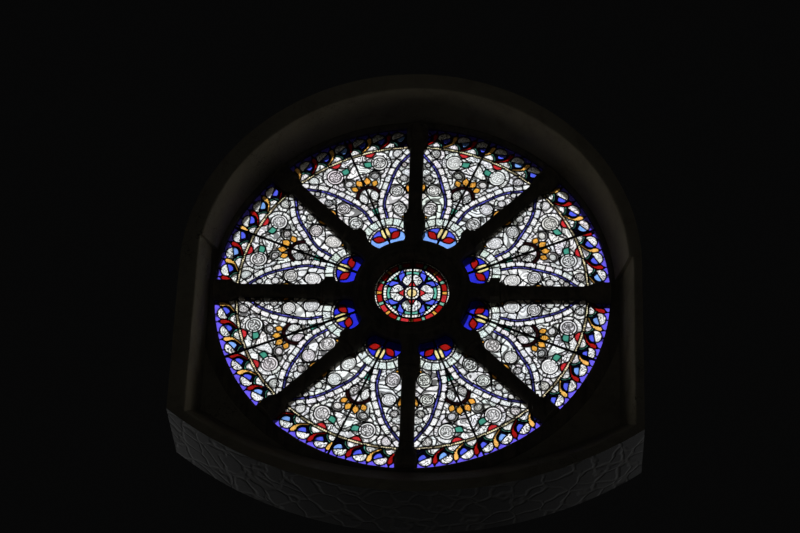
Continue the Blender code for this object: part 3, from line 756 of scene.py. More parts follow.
def field_lines():
    """The free-hand leads of the field, right of the axis."""
    return [
        # Red wedge, white leaf, teal wedge and the leaf beside the axis.
        through((0.062, 0.994), (0.084, 0.968), (0.106, 0.955)),
        through((0.106, 0.955), (0.130, 0.968), (0.146, 0.984)),
        through((0.000, 0.962), (0.025, 0.958), (0.050, 0.942), (0.080, 0.953), (0.106, 0.955)),
        through((0.000, 0.955), (0.030, 0.930), (0.058, 0.900), (0.088, 0.872)),
        through((0.088, 0.872), (0.050, 0.860), (0.000, 0.868)),
        through((0.050, 0.942), (0.075, 0.936), (0.098, 0.928)),
        through((0.046, 0.948), (0.048, 0.930), (0.046, 0.908)),
        through((0.058, 0.900), (0.078, 0.897), (0.094, 0.897)),
        # Large boss and what lies round it.
        oval((0.137, 0.905), 0.048, 0.050),
        through((0.106, 0.955), (0.112, 0.944)),
        through((0.146, 0.984), (0.185, 0.965), (0.205, 0.930), (0.210, 0.900), (0.197, 0.865),
                (0.181, 0.846)),
        through((0.185, 0.912), (0.208, 0.912)),
        through((0.205, 0.930), (0.225, 0.962), (0.260, 0.974), (0.305, 0.955)),
        through((0.260, 0.974), (0.266, 0.996)),
        oval((0.262, 0.925), 0.030, 0.030),
        through((0.210, 0.900), (0.238, 0.895), (0.262, 0.880)),
        through((0.088, 0.872), (0.107, 0.858), (0.130, 0.852), (0.160, 0.858), (0.190, 0.845)),
        # Curl, bracket and the scraps beside the strap.
        oval((0.079, 0.829), 0.024, 0.022),
        through((0.045, 0.842), (0.060, 0.858), (0.088, 0.861), (0.106, 0.846), (0.112, 0.820),
                (0.104, 0.800)),
        through((0.112, 0.820), (0.138, 0.834), (0.150, 0.855)),
        through((0.104, 0.800), (0.125, 0.795), (0.148, 0.800)),
        through((0.092, 0.775), (0.104, 0.800)),
        # Petals over the dark arc.
        leaf_shape((0.016, 0.775), (0.031, 0.838), 0.30),
        leaf_shape((0.041, 0.760), (0.078, 0.800), 0.34),
        arc((0.0, 0.70), 0.079, 0, 78),
        arc((0.0, 0.70), 0.061, 0, 98),
        through((0.020, 0.785), (0.016, 0.776)),
        through((0.045, 0.800), (0.042, 0.768)),
        through((0.000, 0.840), (0.026, 0.842)),
        through((0.045, 0.842), (0.040, 0.826)),
        # Twin bosses under the arc and the teal wedge below.
        oval((0.036, 0.700), 0.026, 0.038),
        through((0.000, 0.660), (0.020, 0.660), (0.038, 0.652)),
        through((0.000, 0.634), (0.018, 0.640), (0.030, 0.634)),
        through((0.000, 0.613), (0.024, 0.613)),
        through((0.000, 0.574), (0.012, 0.574)),
        # Side field, from the blocks up to the end of the strap.
        oval((0.136, 0.558), 0.042, 0.049),
        through((0.080, 0.528), (0.092, 0.545)),
        through((0.070, 0.560), (0.091, 0.560)),
        through((0.112, 0.520), (0.122, 0.496)),
        oval((0.140, 0.497), 0.015, 0.008, 40),
        through((0.085, 0.612), (0.118, 0.606), (0.155, 0.616), (0.185, 0.634), (0.213, 0.647)),
        through((0.105, 0.606), (0.112, 0.595)),
        oval((0.166, 0.683), 0.041, 0.038),
        through((0.213, 0.647), (0.213, 0.680), (0.207, 0.705), (0.200, 0.722), (0.190, 0.745),
                (0.193, 0.765)),
        leaf_shape((0.222, 0.640), (0.238, 0.712), 0.16),
        through((0.150, 0.735), (0.175, 0.728), (0.200, 0.722)),
        through((0.204, 0.690), (0.216, 0.692)),
        through((0.118, 0.665), (0.133, 0.675)),
        through((0.155, 0.616), (0.170, 0.594), (0.172, 0.580)),
        through((0.185, 0.634), (0.200, 0.605), (0.206, 0.575)),
        through((0.206, 0.708), (0.238, 0.712), (0.262, 0.722)),
        through((0.213, 0.647), (0.222, 0.640), (0.246, 0.632)),
        oval((0.232, 0.752), 0.024, 0.024),
        through((0.200, 0.722), (0.214, 0.735)),
        through((0.193, 0.765), (0.210, 0.765)),
        through((0.232, 0.776), (0.236, 0.800), (0.226, 0.818)),
        through((0.254, 0.745), (0.275, 0.740)),
        through((0.236, 0.800), (0.262, 0.806), (0.292, 0.796)),
        oval((0.272, 0.836), 0.019, 0.019),
        through((0.291, 0.836), (0.312, 0.836)),
    ]


def radial(turn, start, stop, centre=(0.0, 0.0)):
    """A straight line outwards from centre, from one distance to another."""
    return spaced(centre + polar(np.array([start, stop]), turn))


def ring_lines():
    """The ring of blocks, its beads and the leaf scroll in the blue half-round."""
    lines = [arc(ARCH_AT, radius, -105, 105) for radius in BLOCKS]
    lines += [radial(turn, *BLOCKS[1:], ARCH_AT) for turn in np.radians(np.arange(-99, 100, 18.0))]
    scroll = [
        oval((0.013, 0.432), 0.0125, 0.042),
        leaf_shape((0.010, 0.383), (0.084, 0.420), 0.27),
        through((0.084, 0.420), (0.096, 0.423), (0.108, 0.424)),
        through((0.010, 0.383), (0.005, 0.380), (0.000, 0.378)),
    ]
    return lines + mirrored(scroll)


def border_lines(phase):
    """The border, between the beads and the rim: units of a disc, a curled leaf, a teal quarter ring
    and the short leads that part them."""
    disc = oval((0.0, 0.0745), 0.040, 0.038)
    parts = [
        through((-0.035, 0.055), (-0.010, 0.064), (0.015, 0.074), (0.038, 0.086)),
        spaced([(-0.016, 0.061), (0.004, 0.035)]),
        through((0.066, 0.107), (0.075, 0.099), (0.0755, 0.080), (0.069, 0.056), (0.054, 0.037),
                (0.028, 0.020), (0.004, 0.008)),
        through((0.066, 0.107), (0.050, 0.097), (0.0425, 0.084), (0.0465, 0.064), (0.043, 0.049),
                (0.028, 0.036), (0.010, 0.025), (-0.004, 0.016), (-0.010, 0.008)),
        arc((-0.053, 0.008), 0.050, 9, 90),
        arc((-0.053, 0.008), 0.037, -3, 90),
        spaced([(0.0400, 0.0830), (0.0425, 0.0835)]),
        spaced([(0.0, 0.113), (0.0, 0.140)]),
        spaced([(0.066, 0.107), (0.066, 0.140)]),
    ]
    unit = [disc, *map(run_on, parts)]
    units = [spaced(in_border(path[:, 0], path[:, 1], i * UNIT_TURN + phase))
             for i in range(-4, 5) for path in unit]
    return [arc((0, 0), radius, -24, 24) for radius in BEADS] + units


def beside_spoke(s, half):
    """The point s along the spoke on a light's right, half off its axis towards the light."""
    return turned_flat(np.stack([-half, s], -1), SECTOR / 2)


def light_outline(grow):
    """The outline of one light in metres, axis up: hub core, round end, spoke and rim, pushed out by
    grow on every side."""
    core, foil, rim = CORE_R - grow, FOIL_R + grow, SIGHT_R + grow
    meet_z = (core**2 + FOIL_AT**2 - foil**2) / (2 * FOIL_AT)
    meet_x = math.sqrt(core**2 - meet_z**2)
    inner = polar(core, np.linspace(0, math.asin(meet_x / core), 16)[:-1])
    along = HUB_END - FOIL_AT * math.cos(SECTOR / 2)
    side = FOIL_AT * math.sin(SECTOR / 2)
    end_half, end_s = np.array([side - math.sqrt(foil**2 - along**2)]), np.array([HUB_END])
    end = beside_spoke(end_s, end_half)[0]
    turn = np.linspace(math.atan2(meet_x, meet_z - FOIL_AT), math.atan2(end[0], end[1] - FOIL_AT), 30)
    round_end = polar(foil, turn) + (0, FOIL_AT)
    s = np.linspace(HUB_END, SIGHT_R, 140)
    reach = s[s**2 + (half_width(s) - grow) ** 2 < rim**2]
    spoke = beside_spoke(reach, half_width(reach) - grow)
    outer = polar(rim, np.linspace(math.atan2(*spoke[-1]), 0, 40))
    right = np.vstack([inner, round_end, spoke[1:], outer[1:]])
    return np.vstack([right, (right * (-1, 1))[-2:0:-1]])


def spaced_outline(outline):
    """The closed outline with its points spread evenly."""
    return spaced(np.vstack([outline, outline[:1]]))[:-1]


def inside(points, outline):
    """True for each point that an even-odd count of the outline's sides puts inside it."""
    x, y = points[:, 0, None], points[:, 1, None]
    a, b = outline, np.roll(outline, -1, axis=0)
    spans = (a[:, 1] > y) != (b[:, 1] > y)
    height = np.where(b[:, 1] == a[:, 1], 1e-12, b[:, 1] - a[:, 1])
    cross = a[:, 0] + (y - a[:, 1]) * (b[:, 0] - a[:, 0]) / height
    return (spans & (x < cross)).sum(1) % 2 == 1


def side_keys(faces, count):
    """The three sides of each triangle, and a number for each that is the same from either triangle."""
    sides = np.stack([faces, np.roll(faces, -1, axis=1)], -1).reshape(-1, 2)
    return sides, sides.min(1) * count + sides.max(1)


def cut_glass(lines, outline, grid_step):
    """The points, the triangles and each triangle's pane of a panel cut into panes along its leads.

    The lines and the outline are triangulated together with a grid of loose points. Triangles that
    share a side with no lead on it belong to one pane.
    """
    paths = [*lines, np.vstack([outline, outline[:1]])]
    points = np.vstack(paths)
    ends = np.cumsum([len(path) for path in paths])
    edge_from = np.setdiff1d(np.arange(len(points)), ends - 1)
    (left, low), (right, high) = outline.min(0), outline.max(0)
    gx, gy = np.meshgrid(np.arange(left, right, grid_step), np.arange(low, high, grid_step * 0.87))
    gx = gx + 0.5 * grid_step * (np.arange(len(gx)) % 2)[:, None]
    loose = np.stack([gx.ravel(), gy.ravel()], -1)
    gap = np.concatenate([np.min(((part[:, None] - points[None]) ** 2).sum(-1), axis=1)
                          for part in np.array_split(loose, 40)])
    loose = loose[gap > (0.45 * grid_step) ** 2]
    verts = [Vector(p) for p in np.vstack([points, loose]).tolist()]
    edges = [(int(i), int(i) + 1) for i in edge_from]
    verts, edges, faces, _, edge_source, _ = delaunay_2d_cdt(verts, edges, [], 0, 1e-5)
    points = np.array([tuple(v) for v in verts])
    faces = np.array(faces)
    faces = faces[inside(points[faces].mean(1), outline)]
    count = len(points)
    _, key = side_keys(faces, count)
    lead_key = [min(edge) * count + max(edge) for edge, source in zip(edges, edge_source) if source]
    owner = np.repeat(np.arange(len(faces)), 3)
    order = np.argsort(key, kind="stable")
    same = key[order][1:] == key[order][:-1]
    first, second = order[:-1][same], order[1:][same]
    free = ~np.isin(key[first], lead_key)
    a, b = owner[first[free]], owner[second[free]]
    pane = np.arange(len(faces))
    while True:
        lowest = np.minimum(pane[a], pane[b])
        new = pane.copy()
        np.minimum.at(new, a, lowest)
        np.minimum.at(new, b, lowest)
        new = new[new]
        if (new == pane).all():
            break
        pane = new
    _, pane = np.unique(pane, return_inverse=True)
    return points, faces, pane


# Each kind of glass: its colour with the sky behind it, how much paint it carries, and the style of
# that paint: 0 leaf strokes, 1 rings about the pane's middle, 2 a row of beads.
GLASS_KINDS = {
    "white": ((0.97, 0.975, 0.98), 0.90, 0),
    "boss": ((0.98, 0.98, 0.98), 0.95, 1),
    "strap": ((0.98, 0.98, 0.99), 0.50, 0),
    "block": ((0.93, 0.98, 0.96), 0.65, 0),
    "pale_teal": ((0.52, 0.76, 0.67), 0.30, 0),
    "fringe": ((0.97, 0.97, 0.95), 1.00, 2),
    "bead": ((0.95, 0.90, 0.74), 1.00, 2),
    "pearl": ((0.95, 0.95, 0.95), 1.00, 2),
    "shell": ((0.99, 0.99, 0.99), 0.90, 0),
    "bright_violet": ((0.43, 0.37, 0.95), 0.15, 0),
    "bright_teal": ((0.42, 0.76, 0.68), 0.30, 0),
    "straw": ((0.97, 0.74, 0.38), 0.30, 0),
    "violet": ((0.40, 0.39, 0.80), 0.15, 0),
    "deep_blue": ((0.17, 0.18, 0.84), 0.15, 0),
    "mid_blue": ((0.33, 0.38, 0.93), 0.15, 0),
    "pale_blue": ((0.50, 0.68, 0.98), 0.15, 0),
    "amber": ((0.95, 0.68, 0.28), 0.60, 0),
    "yellow": ((0.97, 0.90, 0.62), 0.30, 0),
    "ruby": ((0.64, 0.09, 0.08), 0.25, 0),
    "scarlet": ((0.82, 0.20, 0.22), 0.50, 0),
    "maroon": ((0.15, 0.05, 0.06), 0.60, 0),
    "teal": ((0.28, 0.60, 0.52), 0.20, 0),
    "night": ((0.06, 0.05, 0.16), 0.60, 0),
}
KINDS = {name: number for number, name in enumerate(GLASS_KINDS)}


def panes_under(spots, points, faces, pane):
    """The pane that each spot lies in, or -1. A spot is in a triangle where its three turns agree."""
    a, b, c = (points[faces[:, i]] for i in range(3))
    x, y = spots[:, 0, None], spots[:, 1, None]

    def turn(p, q):
        return (q[:, 0] - p[:, 0]) * (y - p[:, 1]) - (q[:, 1] - p[:, 1]) * (x - p[:, 0])

    held = (turn(a, b) >= 0) & (turn(b, c) >= 0) & (turn(c, a) >= 0)
    return np.where(held.any(1), pane[held.argmax(1)], -1)


def by_band(bands, otherwise):
    """The number of the kind of the first band that each spot lies in."""
    return np.select([where for where, _ in bands], [KINDS[name] for _, name in bands], KINDS[otherwise])


def strip_kinds(spot):
    """The kind that each pane of a light takes from the band it lies in."""
    reach, _ = around(spot)
    ring, _ = around(spot - ARCH_AT)
    side, height = np.abs(spot[:, 0]), spot[:, 1]
    near = np.argmin((STRAP[:, 0] - side[:, None]) ** 2 + (STRAP[:, 1] - height[:, None]) ** 2, axis=1)
    way = np.gradient(STRAP, axis=0)
    way /= np.linalg.norm(way, axis=1, keepdims=True)
    off = (side - STRAP[near, 0]) * way[near, 1] - (height - STRAP[near, 1]) * way[near, 0]
    return by_band([
        (reach > BORDER_TOP, "bright_violet"),
        (reach > BEADS[1], "night"),
        (reach > BEADS[0], "bead"),
        (ring < BLOCKS[0], "deep_blue"),
        (ring < BLOCKS[1], "pearl"),
        (ring < BLOCKS[2], "block"),
        ((off > STRAP_IN) & (off < STRAP_MID), "strap"),
        ((off > STRAP_MID) & (off < STRAP_OUT), "violet"),
    ], "white")


# Where the field's coloured pieces lie, right of the axis. What no spot colours keeps its band's kind.
FIELD_SPOTS = {
    "boss": [(0.138, 0.908), (0.262, 0.925), (0.079, 0.829), (0.036, 0.697), (0.134, 0.558),
             (0.168, 0.685), (0.232, 0.752), (0.272, 0.836)],
    "scarlet": [(0.105, 0.980)],
    "teal": [(0.072, 0.922), (0.012, 0.596)],
    "amber": [(0.024, 0.808), (0.060, 0.780), (0.231, 0.680), (0.140, 0.497)],
    "maroon": [(0.030, 0.763), (0.005, 0.770), (0.060, 0.735)],
    "yellow": [(0.013, 0.440)],
    "ruby": [(0.047, 0.402)],
}


def light_spots(phase, number):
    """Spots that colour the panes: the mirrored ones of the field, then those of each border unit."""
    inner, upper = ("pale_blue", "mid_blue") if number in (1, 8) else ("deep_blue", "deep_blue")
    field = [(x, y, name) for name, places in FIELD_SPOTS.items() for x, y in places]
    field += [(0.050, 0.362, inner), (0.055, 0.440, upper)]
    spots = [(side * x, y, KINDS[name]) for x, y, name in field for side in (-1, 1)]
    for i in range(-4, 5):
        leaf = "straw" if (i + number) % 2 else "ruby"
        drop = ("mid_blue", "pale_blue", "mid_blue")[(i + 2 * number) % 3]
        unit = [(-0.008, 0.092, "shell"), (0.020, 0.058, drop), (0.058, 0.085, leaf),
                (-0.052, 0.022, "shell"), (-0.0222, 0.0388, "bright_teal")]
        spots += [(*in_border(x, y, i * UNIT_TURN + phase), KINDS[name]) for x, y, name in unit]
    return np.array(spots)


def swayed(path, seed):
    """The path with a free hand's drift: soft bumps in both directions that die out at the beads."""
    flat = np.column_stack([path, np.zeros(len(path))])
    still = np.clip((0.985 - around(path)[0]) / 0.05, 0, 1)[:, None]
    drift = np.stack([unevenness(flat, 0.22, seed), unevenness(flat, 0.22, seed + 1)], -1)
    return path + 0.0028 * still * drift


def run_on(path, extra=0.004):
    """The path with the ends of an open one carried on a little, so that it crosses the lead it meets."""
    if np.allclose(path[0], path[-1]):
        return path
    first, last = path[0] - path[1], path[-1] - path[-2]
    first, last = first / np.linalg.norm(first), last / np.linalg.norm(last)
    return np.vstack([path[0] + extra * first, path[1:-1], path[-1] + extra * last])


def light_lines(phase, seed):
    """Every lead of one light: the free leads, the straps and the ring, swayed, then the axis and the border.
    """
    strap = [parallel(STRAP, offset) for offset in (STRAP_IN, STRAP_MID, STRAP_OUT)]
    strap += ladder(STRAP, STRAP_IN, STRAP_MID, 0.056, 0.030)
    strap += ladder(STRAP, STRAP_MID, STRAP_OUT, 0.115, 0.060)
    axis = spaced([(0.0, 0.33), (0.0, 1.14)])
    free = mirrored(field_lines() + strap) + ring_lines()
    return [swayed(run_on(path), seed) for path in free] + [axis, *border_lines(phase)]


def placed(flat, depth, turn):
    """Places drawn on the pattern, in metres, stood up in the wheel's plane and turned clockwise."""
    points = np.column_stack([flat[:, 0], depth, flat[:, 1]])
    return turned_by(points, turn) + (0, 0, CENTRE_Z)


GLASS_T = 0.0034  # thickness of the glass


def areas(points, faces):
    """The area of each triangle, below zero where its corners run clockwise."""
    a, b, c = (points[faces[:, i]] for i in range(3))
    return np.cross(b - a, c - a) / 2


def glaze(name, points, faces, pane, kinds, drawing, turn, seed):
    """The panes of one panel. Every pane is a closed plate of its own, leaning and bulging by a
    millimetre. drawing gives the beaded panes their map. Attributes carry each pane's colour, how it
    is painted, and how near each point is to a lead."""
    random = np.random.default_rng(seed)
    count = len(points)
    key, corner = np.unique((pane[:, None] * count + faces).ravel(), return_inverse=True)
    tris = corner.reshape(-1, 3)
    owner, source = key // count, key % count
    flat = points[source]
    panes = pane.max() + 1
    area = areas(points, faces)
    middle = points[faces].mean(1)
    centre = np.stack([np.bincount(pane, area * middle[:, i], panes) for i in (0, 1)], -1)
    centre /= np.bincount(pane, area, panes)[:, None]
    local = flat - centre[owner]
    size = np.zeros(panes)
    np.maximum.at(size, owner, np.linalg.norm(local, axis=1))
    local = local / size[owner][:, None]

    sides, side_key = side_keys(tris, len(key))
    _, where, times = np.unique(side_key, return_inverse=True, return_counts=True)
    rim_sides = sides[times[where] == 1]
    edge = np.zeros(len(key))
    edge[rim_sides.ravel()] = 1.0
    least = np.ones(panes)
    np.minimum.at(least, owner, edge)
    edge *= np.where(least == 1, 0.45, 1.0)[owner]  # a narrow pane has no clear middle, and stays light

    lean = random.normal(0, 0.006, (panes, 2))[owner]
    bulge = random.normal(0, 0.0004, panes)[owner] * (1 - np.clip((local**2).sum(1), 0, 1))
    shift = np.clip((lean * local).sum(1) * size[owner] * UNIT, -0.0009, 0.0009) + bulge
    front = placed(flat * UNIT, GLASS_Y - GLASS_T / 2 + shift, turn)
    back = placed(flat * UNIT, GLASS_Y + GLASS_T / 2 + shift, turn)
    n = len(key)
    walls = np.stack([rim_sides[:, 1], rim_sides[:, 0], rim_sides[:, 0] + n, rim_sides[:, 1] + n], -1)
    shell = outward(np.vstack([front, back]), [tris, tris[:, ::-1] + n, walls])
    piece = make_piece(name, *shell, [glass_finish], 50)

    table = np.array([(*rgb(*colour)[:3], paint, style) for colour, paint, style in GLASS_KINDS.values()])
    value = table[kinds]
    value[:, 3] *= np.where(value[:, 4] == 2, 1.0, random.choice((0.6, 0.9, 1.0), panes))
    tint = value[:, :3] * np.clip(random.normal(1.0, 0.045, (panes, 1)), 0.86, 1.08) \
        * np.clip(random.normal(1.0, 0.02, (panes, 3)), 0.93, 1.05)
    spin = random.uniform(0, 2 * math.pi, panes)[owner]
    turned = turned_flat(local, -spin)
    beaded = (value[:, 4] == 2)[owner]
    turned[beaded] = drawing(flat[beaded])
    chance = random.uniform(0, 1, panes)[owner]
    mesh = piece.data
    colours = np.column_stack([np.clip(tint, 0, 1)[owner], np.ones(n)])
    paint = np.column_stack([value[:, 3][owner], value[:, 4][owner] / 2, edge])
    for layers, title, kind, field, values in (
            (mesh.color_attributes, "pane_colour", "FLOAT_COLOR", "color", colours),
            (mesh.attributes, "pane_paint", "FLOAT_VECTOR", "vector", paint),
            (mesh.attributes, "pane_chance", "FLOAT", "value", chance[:, None])):
        layer = layers.new(title, kind, "POINT")
        layer.data.foreach_set(field, np.vstack([values, values]).astype(np.float32).ravel())
    corners = np.zeros(len(mesh.loops), dtype=np.int32)
    mesh.loops.foreach_get("vertex_index", corners)
    mesh.uv_layers.new(name="pane_drawing").data.foreach_set(
        "uv", np.vstack([turned, turned])[corners].astype(np.float32).ravel())
    return piece


CAME_HALF = 0.0054  # a lead's half width and half depth
CAME_DEPTH = 0.0046
SURROUND_HALF = 0.006  # the same of the lead round a panel
SURROUND_DEPTH = 0.0049
AXIS_HALF = 0.0085
GENTLE = 0.09  # radians of bend from one point of a lead to the next


def without_gentle(path):
    """The path less every second point where it hardly bends."""
    step = np.diff(path, axis=0)
    heading = np.unwrap(np.arctan2(step[:, 1], step[:, 0]))
    keep = np.ones(len(path), dtype=bool)
    keep[1:-1:2] = np.abs(np.diff(heading))[::2] > GENTLE
    return path[keep]


def came(path, turn, half=CAME_HALF, depth=CAME_DEPTH):
    """Lead along a path in metres: a section of six points, carried square to the path."""
    whole = np.allclose(path[0], path[-1])
    path = without_gentle(path)
    if whole:
        path = path[:-1]
        along = np.roll(path, -1, axis=0) - np.roll(path, 1, axis=0)
    else:
        along = np.gradient(path, axis=0)
    along /= np.maximum(np.linalg.norm(along, axis=1, keepdims=True), 1e-9)
    beside = np.stack([along[:, 1], -along[:, 0]], -1)
    across = half * np.array([1.0, 0.58, -0.58, -1.0, -0.58, 0.58])
    deep = depth * np.array([0.0, 0.97, 0.97, 0.0, -0.97, -0.97])
    flat = path[:, None] + beside[:, None] * across[None, :, None]
    rows = len(path)
    points = placed(flat.reshape(-1, 2), GLASS_Y - np.tile(deep, rows), turn)
    if whole:
        return points, [grid_faces(rows, 6, close_rows=True, close_columns=True)]
    return section_tube(points.reshape(rows, 6, 3))


def solder(at, turn, radius=0.0068):
    """A flattened drop of solder where leads meet: a ball squashed on to the lead's two faces."""
    tilt = np.linspace(0, math.pi, 6)[1:-1]
    around = np.linspace(0, 2 * math.pi, 8, endpoint=False)
    ring = radius * np.sin(tilt)[:, None]
    flat = np.stack([ring * np.cos(around), ring * np.sin(around)], -1).reshape(-1, 2)
    deep = np.repeat(np.cos(tilt) * (CAME_DEPTH + 0.0009), 8)
    points = placed(at + flat, GLASS_Y - deep, turn)
    return section_tube(points.reshape(4, 8, 3))


def pieces_within(path, outline):
    """The stretches of a path, each of two points or more, that lie inside the outline."""
    kept = inside(path, outline)
    if kept.all():
        return [path]
    breaks = np.flatnonzero(np.diff(kept.astype(int))) + 1
    starts = kept[np.concatenate([[0], breaks])]
    return [run for run, keep in zip(np.split(path, breaks), starts) if keep and len(run) > 1]


def lead_net(name, lines, outline, turn):
    """All the leads of a panel: the surround, each line clipped to it, and solder at the ends."""
    shells = [came(np.vstack([outline, outline[:1]]), turn, SURROUND_HALF, SURROUND_DEPTH)]
    for line in lines:
        for run in pieces_within(line, outline):
            upright = np.ptp(run[:, 0]) < 1e-9  # where a light's two halves meet, the lead is broad
            shells.append(came(run, turn, AXIS_HALF if upright else CAME_HALF))
            if not np.allclose(run[0], run[-1]):
                shells += [solder(run[0], turn), solder(run[-1], turn)]
    return make_piece(name, *joined(shells), [lead_finish], 60)


def painted_glass():
    """Hand-made coloured glass, with brown-grey glass paint fired on: leaf strokes on plain panes, a
    ringed flower on bosses, a row of pearls on the beaded strips, and grime along the leads."""
    f = Finish("painted_glass", Transmission_Weight=1.0, IOR=1.5)
    tint = f.node("ShaderNodeAttribute", attribute_name="pane_colour").outputs["Color"]
    pane_paint = f.node("ShaderNodeAttribute", attribute_name="pane_paint").outputs["Vector"]
    weight, style, edge = f.node("ShaderNodeSeparateXYZ", [(0, pane_paint)]).outputs
    chance = f.node("ShaderNodeAttribute", attribute_name="pane_chance").outputs["Fac"]
    drawing = f.node("ShaderNodeUVMap", uv_map="pane_drawing").outputs[0]
    along, across, _ = f.node("ShaderNodeSeparateXYZ", [(0, drawing)]).outputs
    reach = f.vector("LENGTH", drawing)

    # Leaf strokes: bands bent by noise, kept thin, with a wash of half-tone behind them.
    shifted = f.node("ShaderNodeCombineXYZ", [(2, f.math("MULTIPLY", chance, 40.0))]).outputs[0]
    moved = f.vector("ADD", drawing, shifted)
    leaf = f.noise(1.4, 0.0, 0.4, 1.0, at=moved)
    strokes = f.near(f.math("FRACT", f.math("MULTIPLY_ADD", leaf, 4.4, 0.5)), 0.5, 0.26, 0.17)
    wash = f.math("MULTIPLY", f.ramp(f.noise(2.3, 2.0, at=moved), 0.50, 0.60), 0.25)
    strokes = f.math("MAXIMUM", strokes, wash)

    # A boss: an outer ring, a ring that waves five times round, and strokes on a half-tone within.
    wave = f.math("COSINE", f.math("MULTIPLY", f.math("ARCTAN2", across, along), 5.0))
    rings = f.near(reach, f.math("MULTIPLY_ADD", wave, 0.13, 0.33), 0.10, 0.05)
    rings = f.math("MAXIMUM", rings, f.near(reach, 0.69, 0.12, 0.07))
    rings = f.math("MAXIMUM", rings, f.math("MULTIPLY", strokes, f.ramp(reach, 0.68, 0.60)))
    rings = f.math("MAXIMUM", rings, f.math("MULTIPLY", f.ramp(reach, 0.72, 0.64), 0.18))

    # Pearls: one disc to each unit of the drawing's length, clear on a painted ground.
    cell = f.math("SUBTRACT", f.math("FRACT", along), 0.5)
    from_pearl = f.node("ShaderNodeCombineXYZ", [(0, cell), (1, f.math("MULTIPLY", across, 0.5))]).outputs[0]
    pearls = f.ramp(f.vector("LENGTH", from_pearl), 0.36, 0.45)

    drawn = f.mixed(f.near(style, 0.5, 0.2, 0.1), strokes, rings)
    drawn = f.mixed(f.ramp(style, 0.8, 0.9), drawn, pearls)
    paint = f.math("MULTIPLY", drawn, weight)
    streaks = f.noise(16.0, 3.0, 0.6, 1.2)
    fine = f.noise(75.0, 3.0)
    grime = f.math("MULTIPLY", f.math("POWER", edge, 2.5), 0.80)
    grime = f.math("ADD", grime, f.math("MULTIPLY", f.ramp(fine, 0.55, 0.8), 0.16), clamp=True)

    def over_tint(colour):
        return f.blend(1.0, tint, colour, "MULTIPLY")

    colour = over_tint(f.blend(f.ramp(streaks, 0.3, 0.75), rgb(0.90, 0.90, 0.90), rgb(1.0, 1.0, 1.0)))
    colour = f.blend(f.math("MULTIPLY", paint, 0.97), colour, over_tint(rgb(0.10, 0.095, 0.085)))
    colour = f.blend(grime, colour, over_tint(rgb(0.22, 0.20, 0.17)))
    f.painted(colour, paint, 0.20, f.math("MULTIPLY_ADD", fine, 0.06, 0.04))
    f.relief((streaks, 0.0012, 0.35))
    return f.material


def lead_metal():
    """Old lead: dull blue-grey with white and brown oxide, dented where it was dressed down."""
    f = Finish("old_lead", Metallic=0.6)
    bloom = f.noise(30.0, 5.0, 0.65)
    dents = f.noise(140.0, 3.0)
    colour = f.blend(f.ramp(bloom, 0.42, 0.66), rgb(0.15, 0.153, 0.157), rgb(0.25, 0.247, 0.24))
    f.painted(f.blend(f.ramp(dents, 0.5, 0.8), colour, rgb(0.13, 0.125, 0.12)), bloom, 0.3, 0.42)
    f.relief((dents, 0.0007, 0.5))
    return f.material


def middles(points, faces, pane):
    """One spot inside each pane: the middle of its largest triangle."""
    order = np.lexsort((-np.abs(areas(points, faces)), pane))
    first = order[np.concatenate([[True], np.diff(pane[order]) > 0])]
    return points[faces[first]].mean(1)


def leaded_panel(name, lines, bed, sight, grid_step, kinds_of, spots, drawing, turn, seed):
    """Glass and leads of one panel. A pane is coloured by where it lies, then by a spot on it. The
    glass reaches to the outline bed, in pattern units, and the leads to the outline sight, in metres."""
    points, faces, pane = cut_glass(lines, bed, grid_step)
    kinds = kinds_of(middles(points, faces, pane))
    under = panes_under(spots[:, :2], points, faces, pane)
    kinds[under[under >= 0]] = spots[under >= 0, 2].astype(int)
    glass = glaze(f"{name}_glass", points, faces, pane, kinds, drawing, turn, seed)
    return glass, lead_net(f"{name}_leads", [line * UNIT for line in lines], sight, turn)


def light_drawing(flat):
    """The map of the beaded strips: along each strip in pearls, and across it from -1 to 1."""
    strips = []
    for middle, (inner, outer), radius, pearl in (((0, 0), BEADS, 1.0, 0.0125),
                                                  (ARCH_AT, BLOCKS[:2], BLOCKS[0], 0.0155)):
        reach, turn = around(flat - middle)
        across = (reach - (inner + outer) / 2) / ((outer - inner) / 2)
        strips.append(np.stack([turn * radius / pearl, across], -1))
    return np.where(around(flat)[0][:, None] > 0.9, *strips)


glass_finish = painted_glass()
lead_finish = lead_metal()
LIGHT_GRID = 0.014  # spacing of the loose points within the panes of a light, and of the roundel
ROUNDEL_GRID = 0.009
BEDDED = 0.003  # how far the glass and its surround run into the stone
PHASES = (-1.5, -2.8, -1.4, -1.7, -2.6, -3.8, -2.4, -2.2)  # degrees from each axis to a border disc
for number in range(1, 9):
    turn = (number - 0.5) * SECTOR
    phase = math.radians(PHASES[number - 1])
    glass, leads = leaded_panel(
        f"light_{number}", light_lines(phase, 200 + 10 * number),
        spaced_outline(light_outline(BEDDED)) / UNIT, light_outline(0.0), LIGHT_GRID,
        strip_kinds, light_spots(phase, number), light_drawing, turn, 300 + number)
    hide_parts(f"light_{number}")
    for piece in (glass, leads):
        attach(piece, "root")

# ---------------------------------------------------------------------------------------------
# The roundel in the hub: beads round a yellow middle, four white petals with red wedges and teal
# pieces, blue leaves in pairs between them, a fringed white ring, and a ring of red glass with square
# blocks of amber and pale teal, all leaded as the lights are.

ROUNDEL_FLOWER = (0.0285, 0.046)  # the middle and the beads round it
ROUNDEL_RINGS = (0.144, 0.166, 0.1705, 0.202)  # painted white ring, then the red ring
BLOCK_STEP = math.pi / 8  # from one square block of the red ring to the next
BLOCK_TURN = 0.060  # half a block, in radians


quarters = np.arange(4) * math.pi / 2


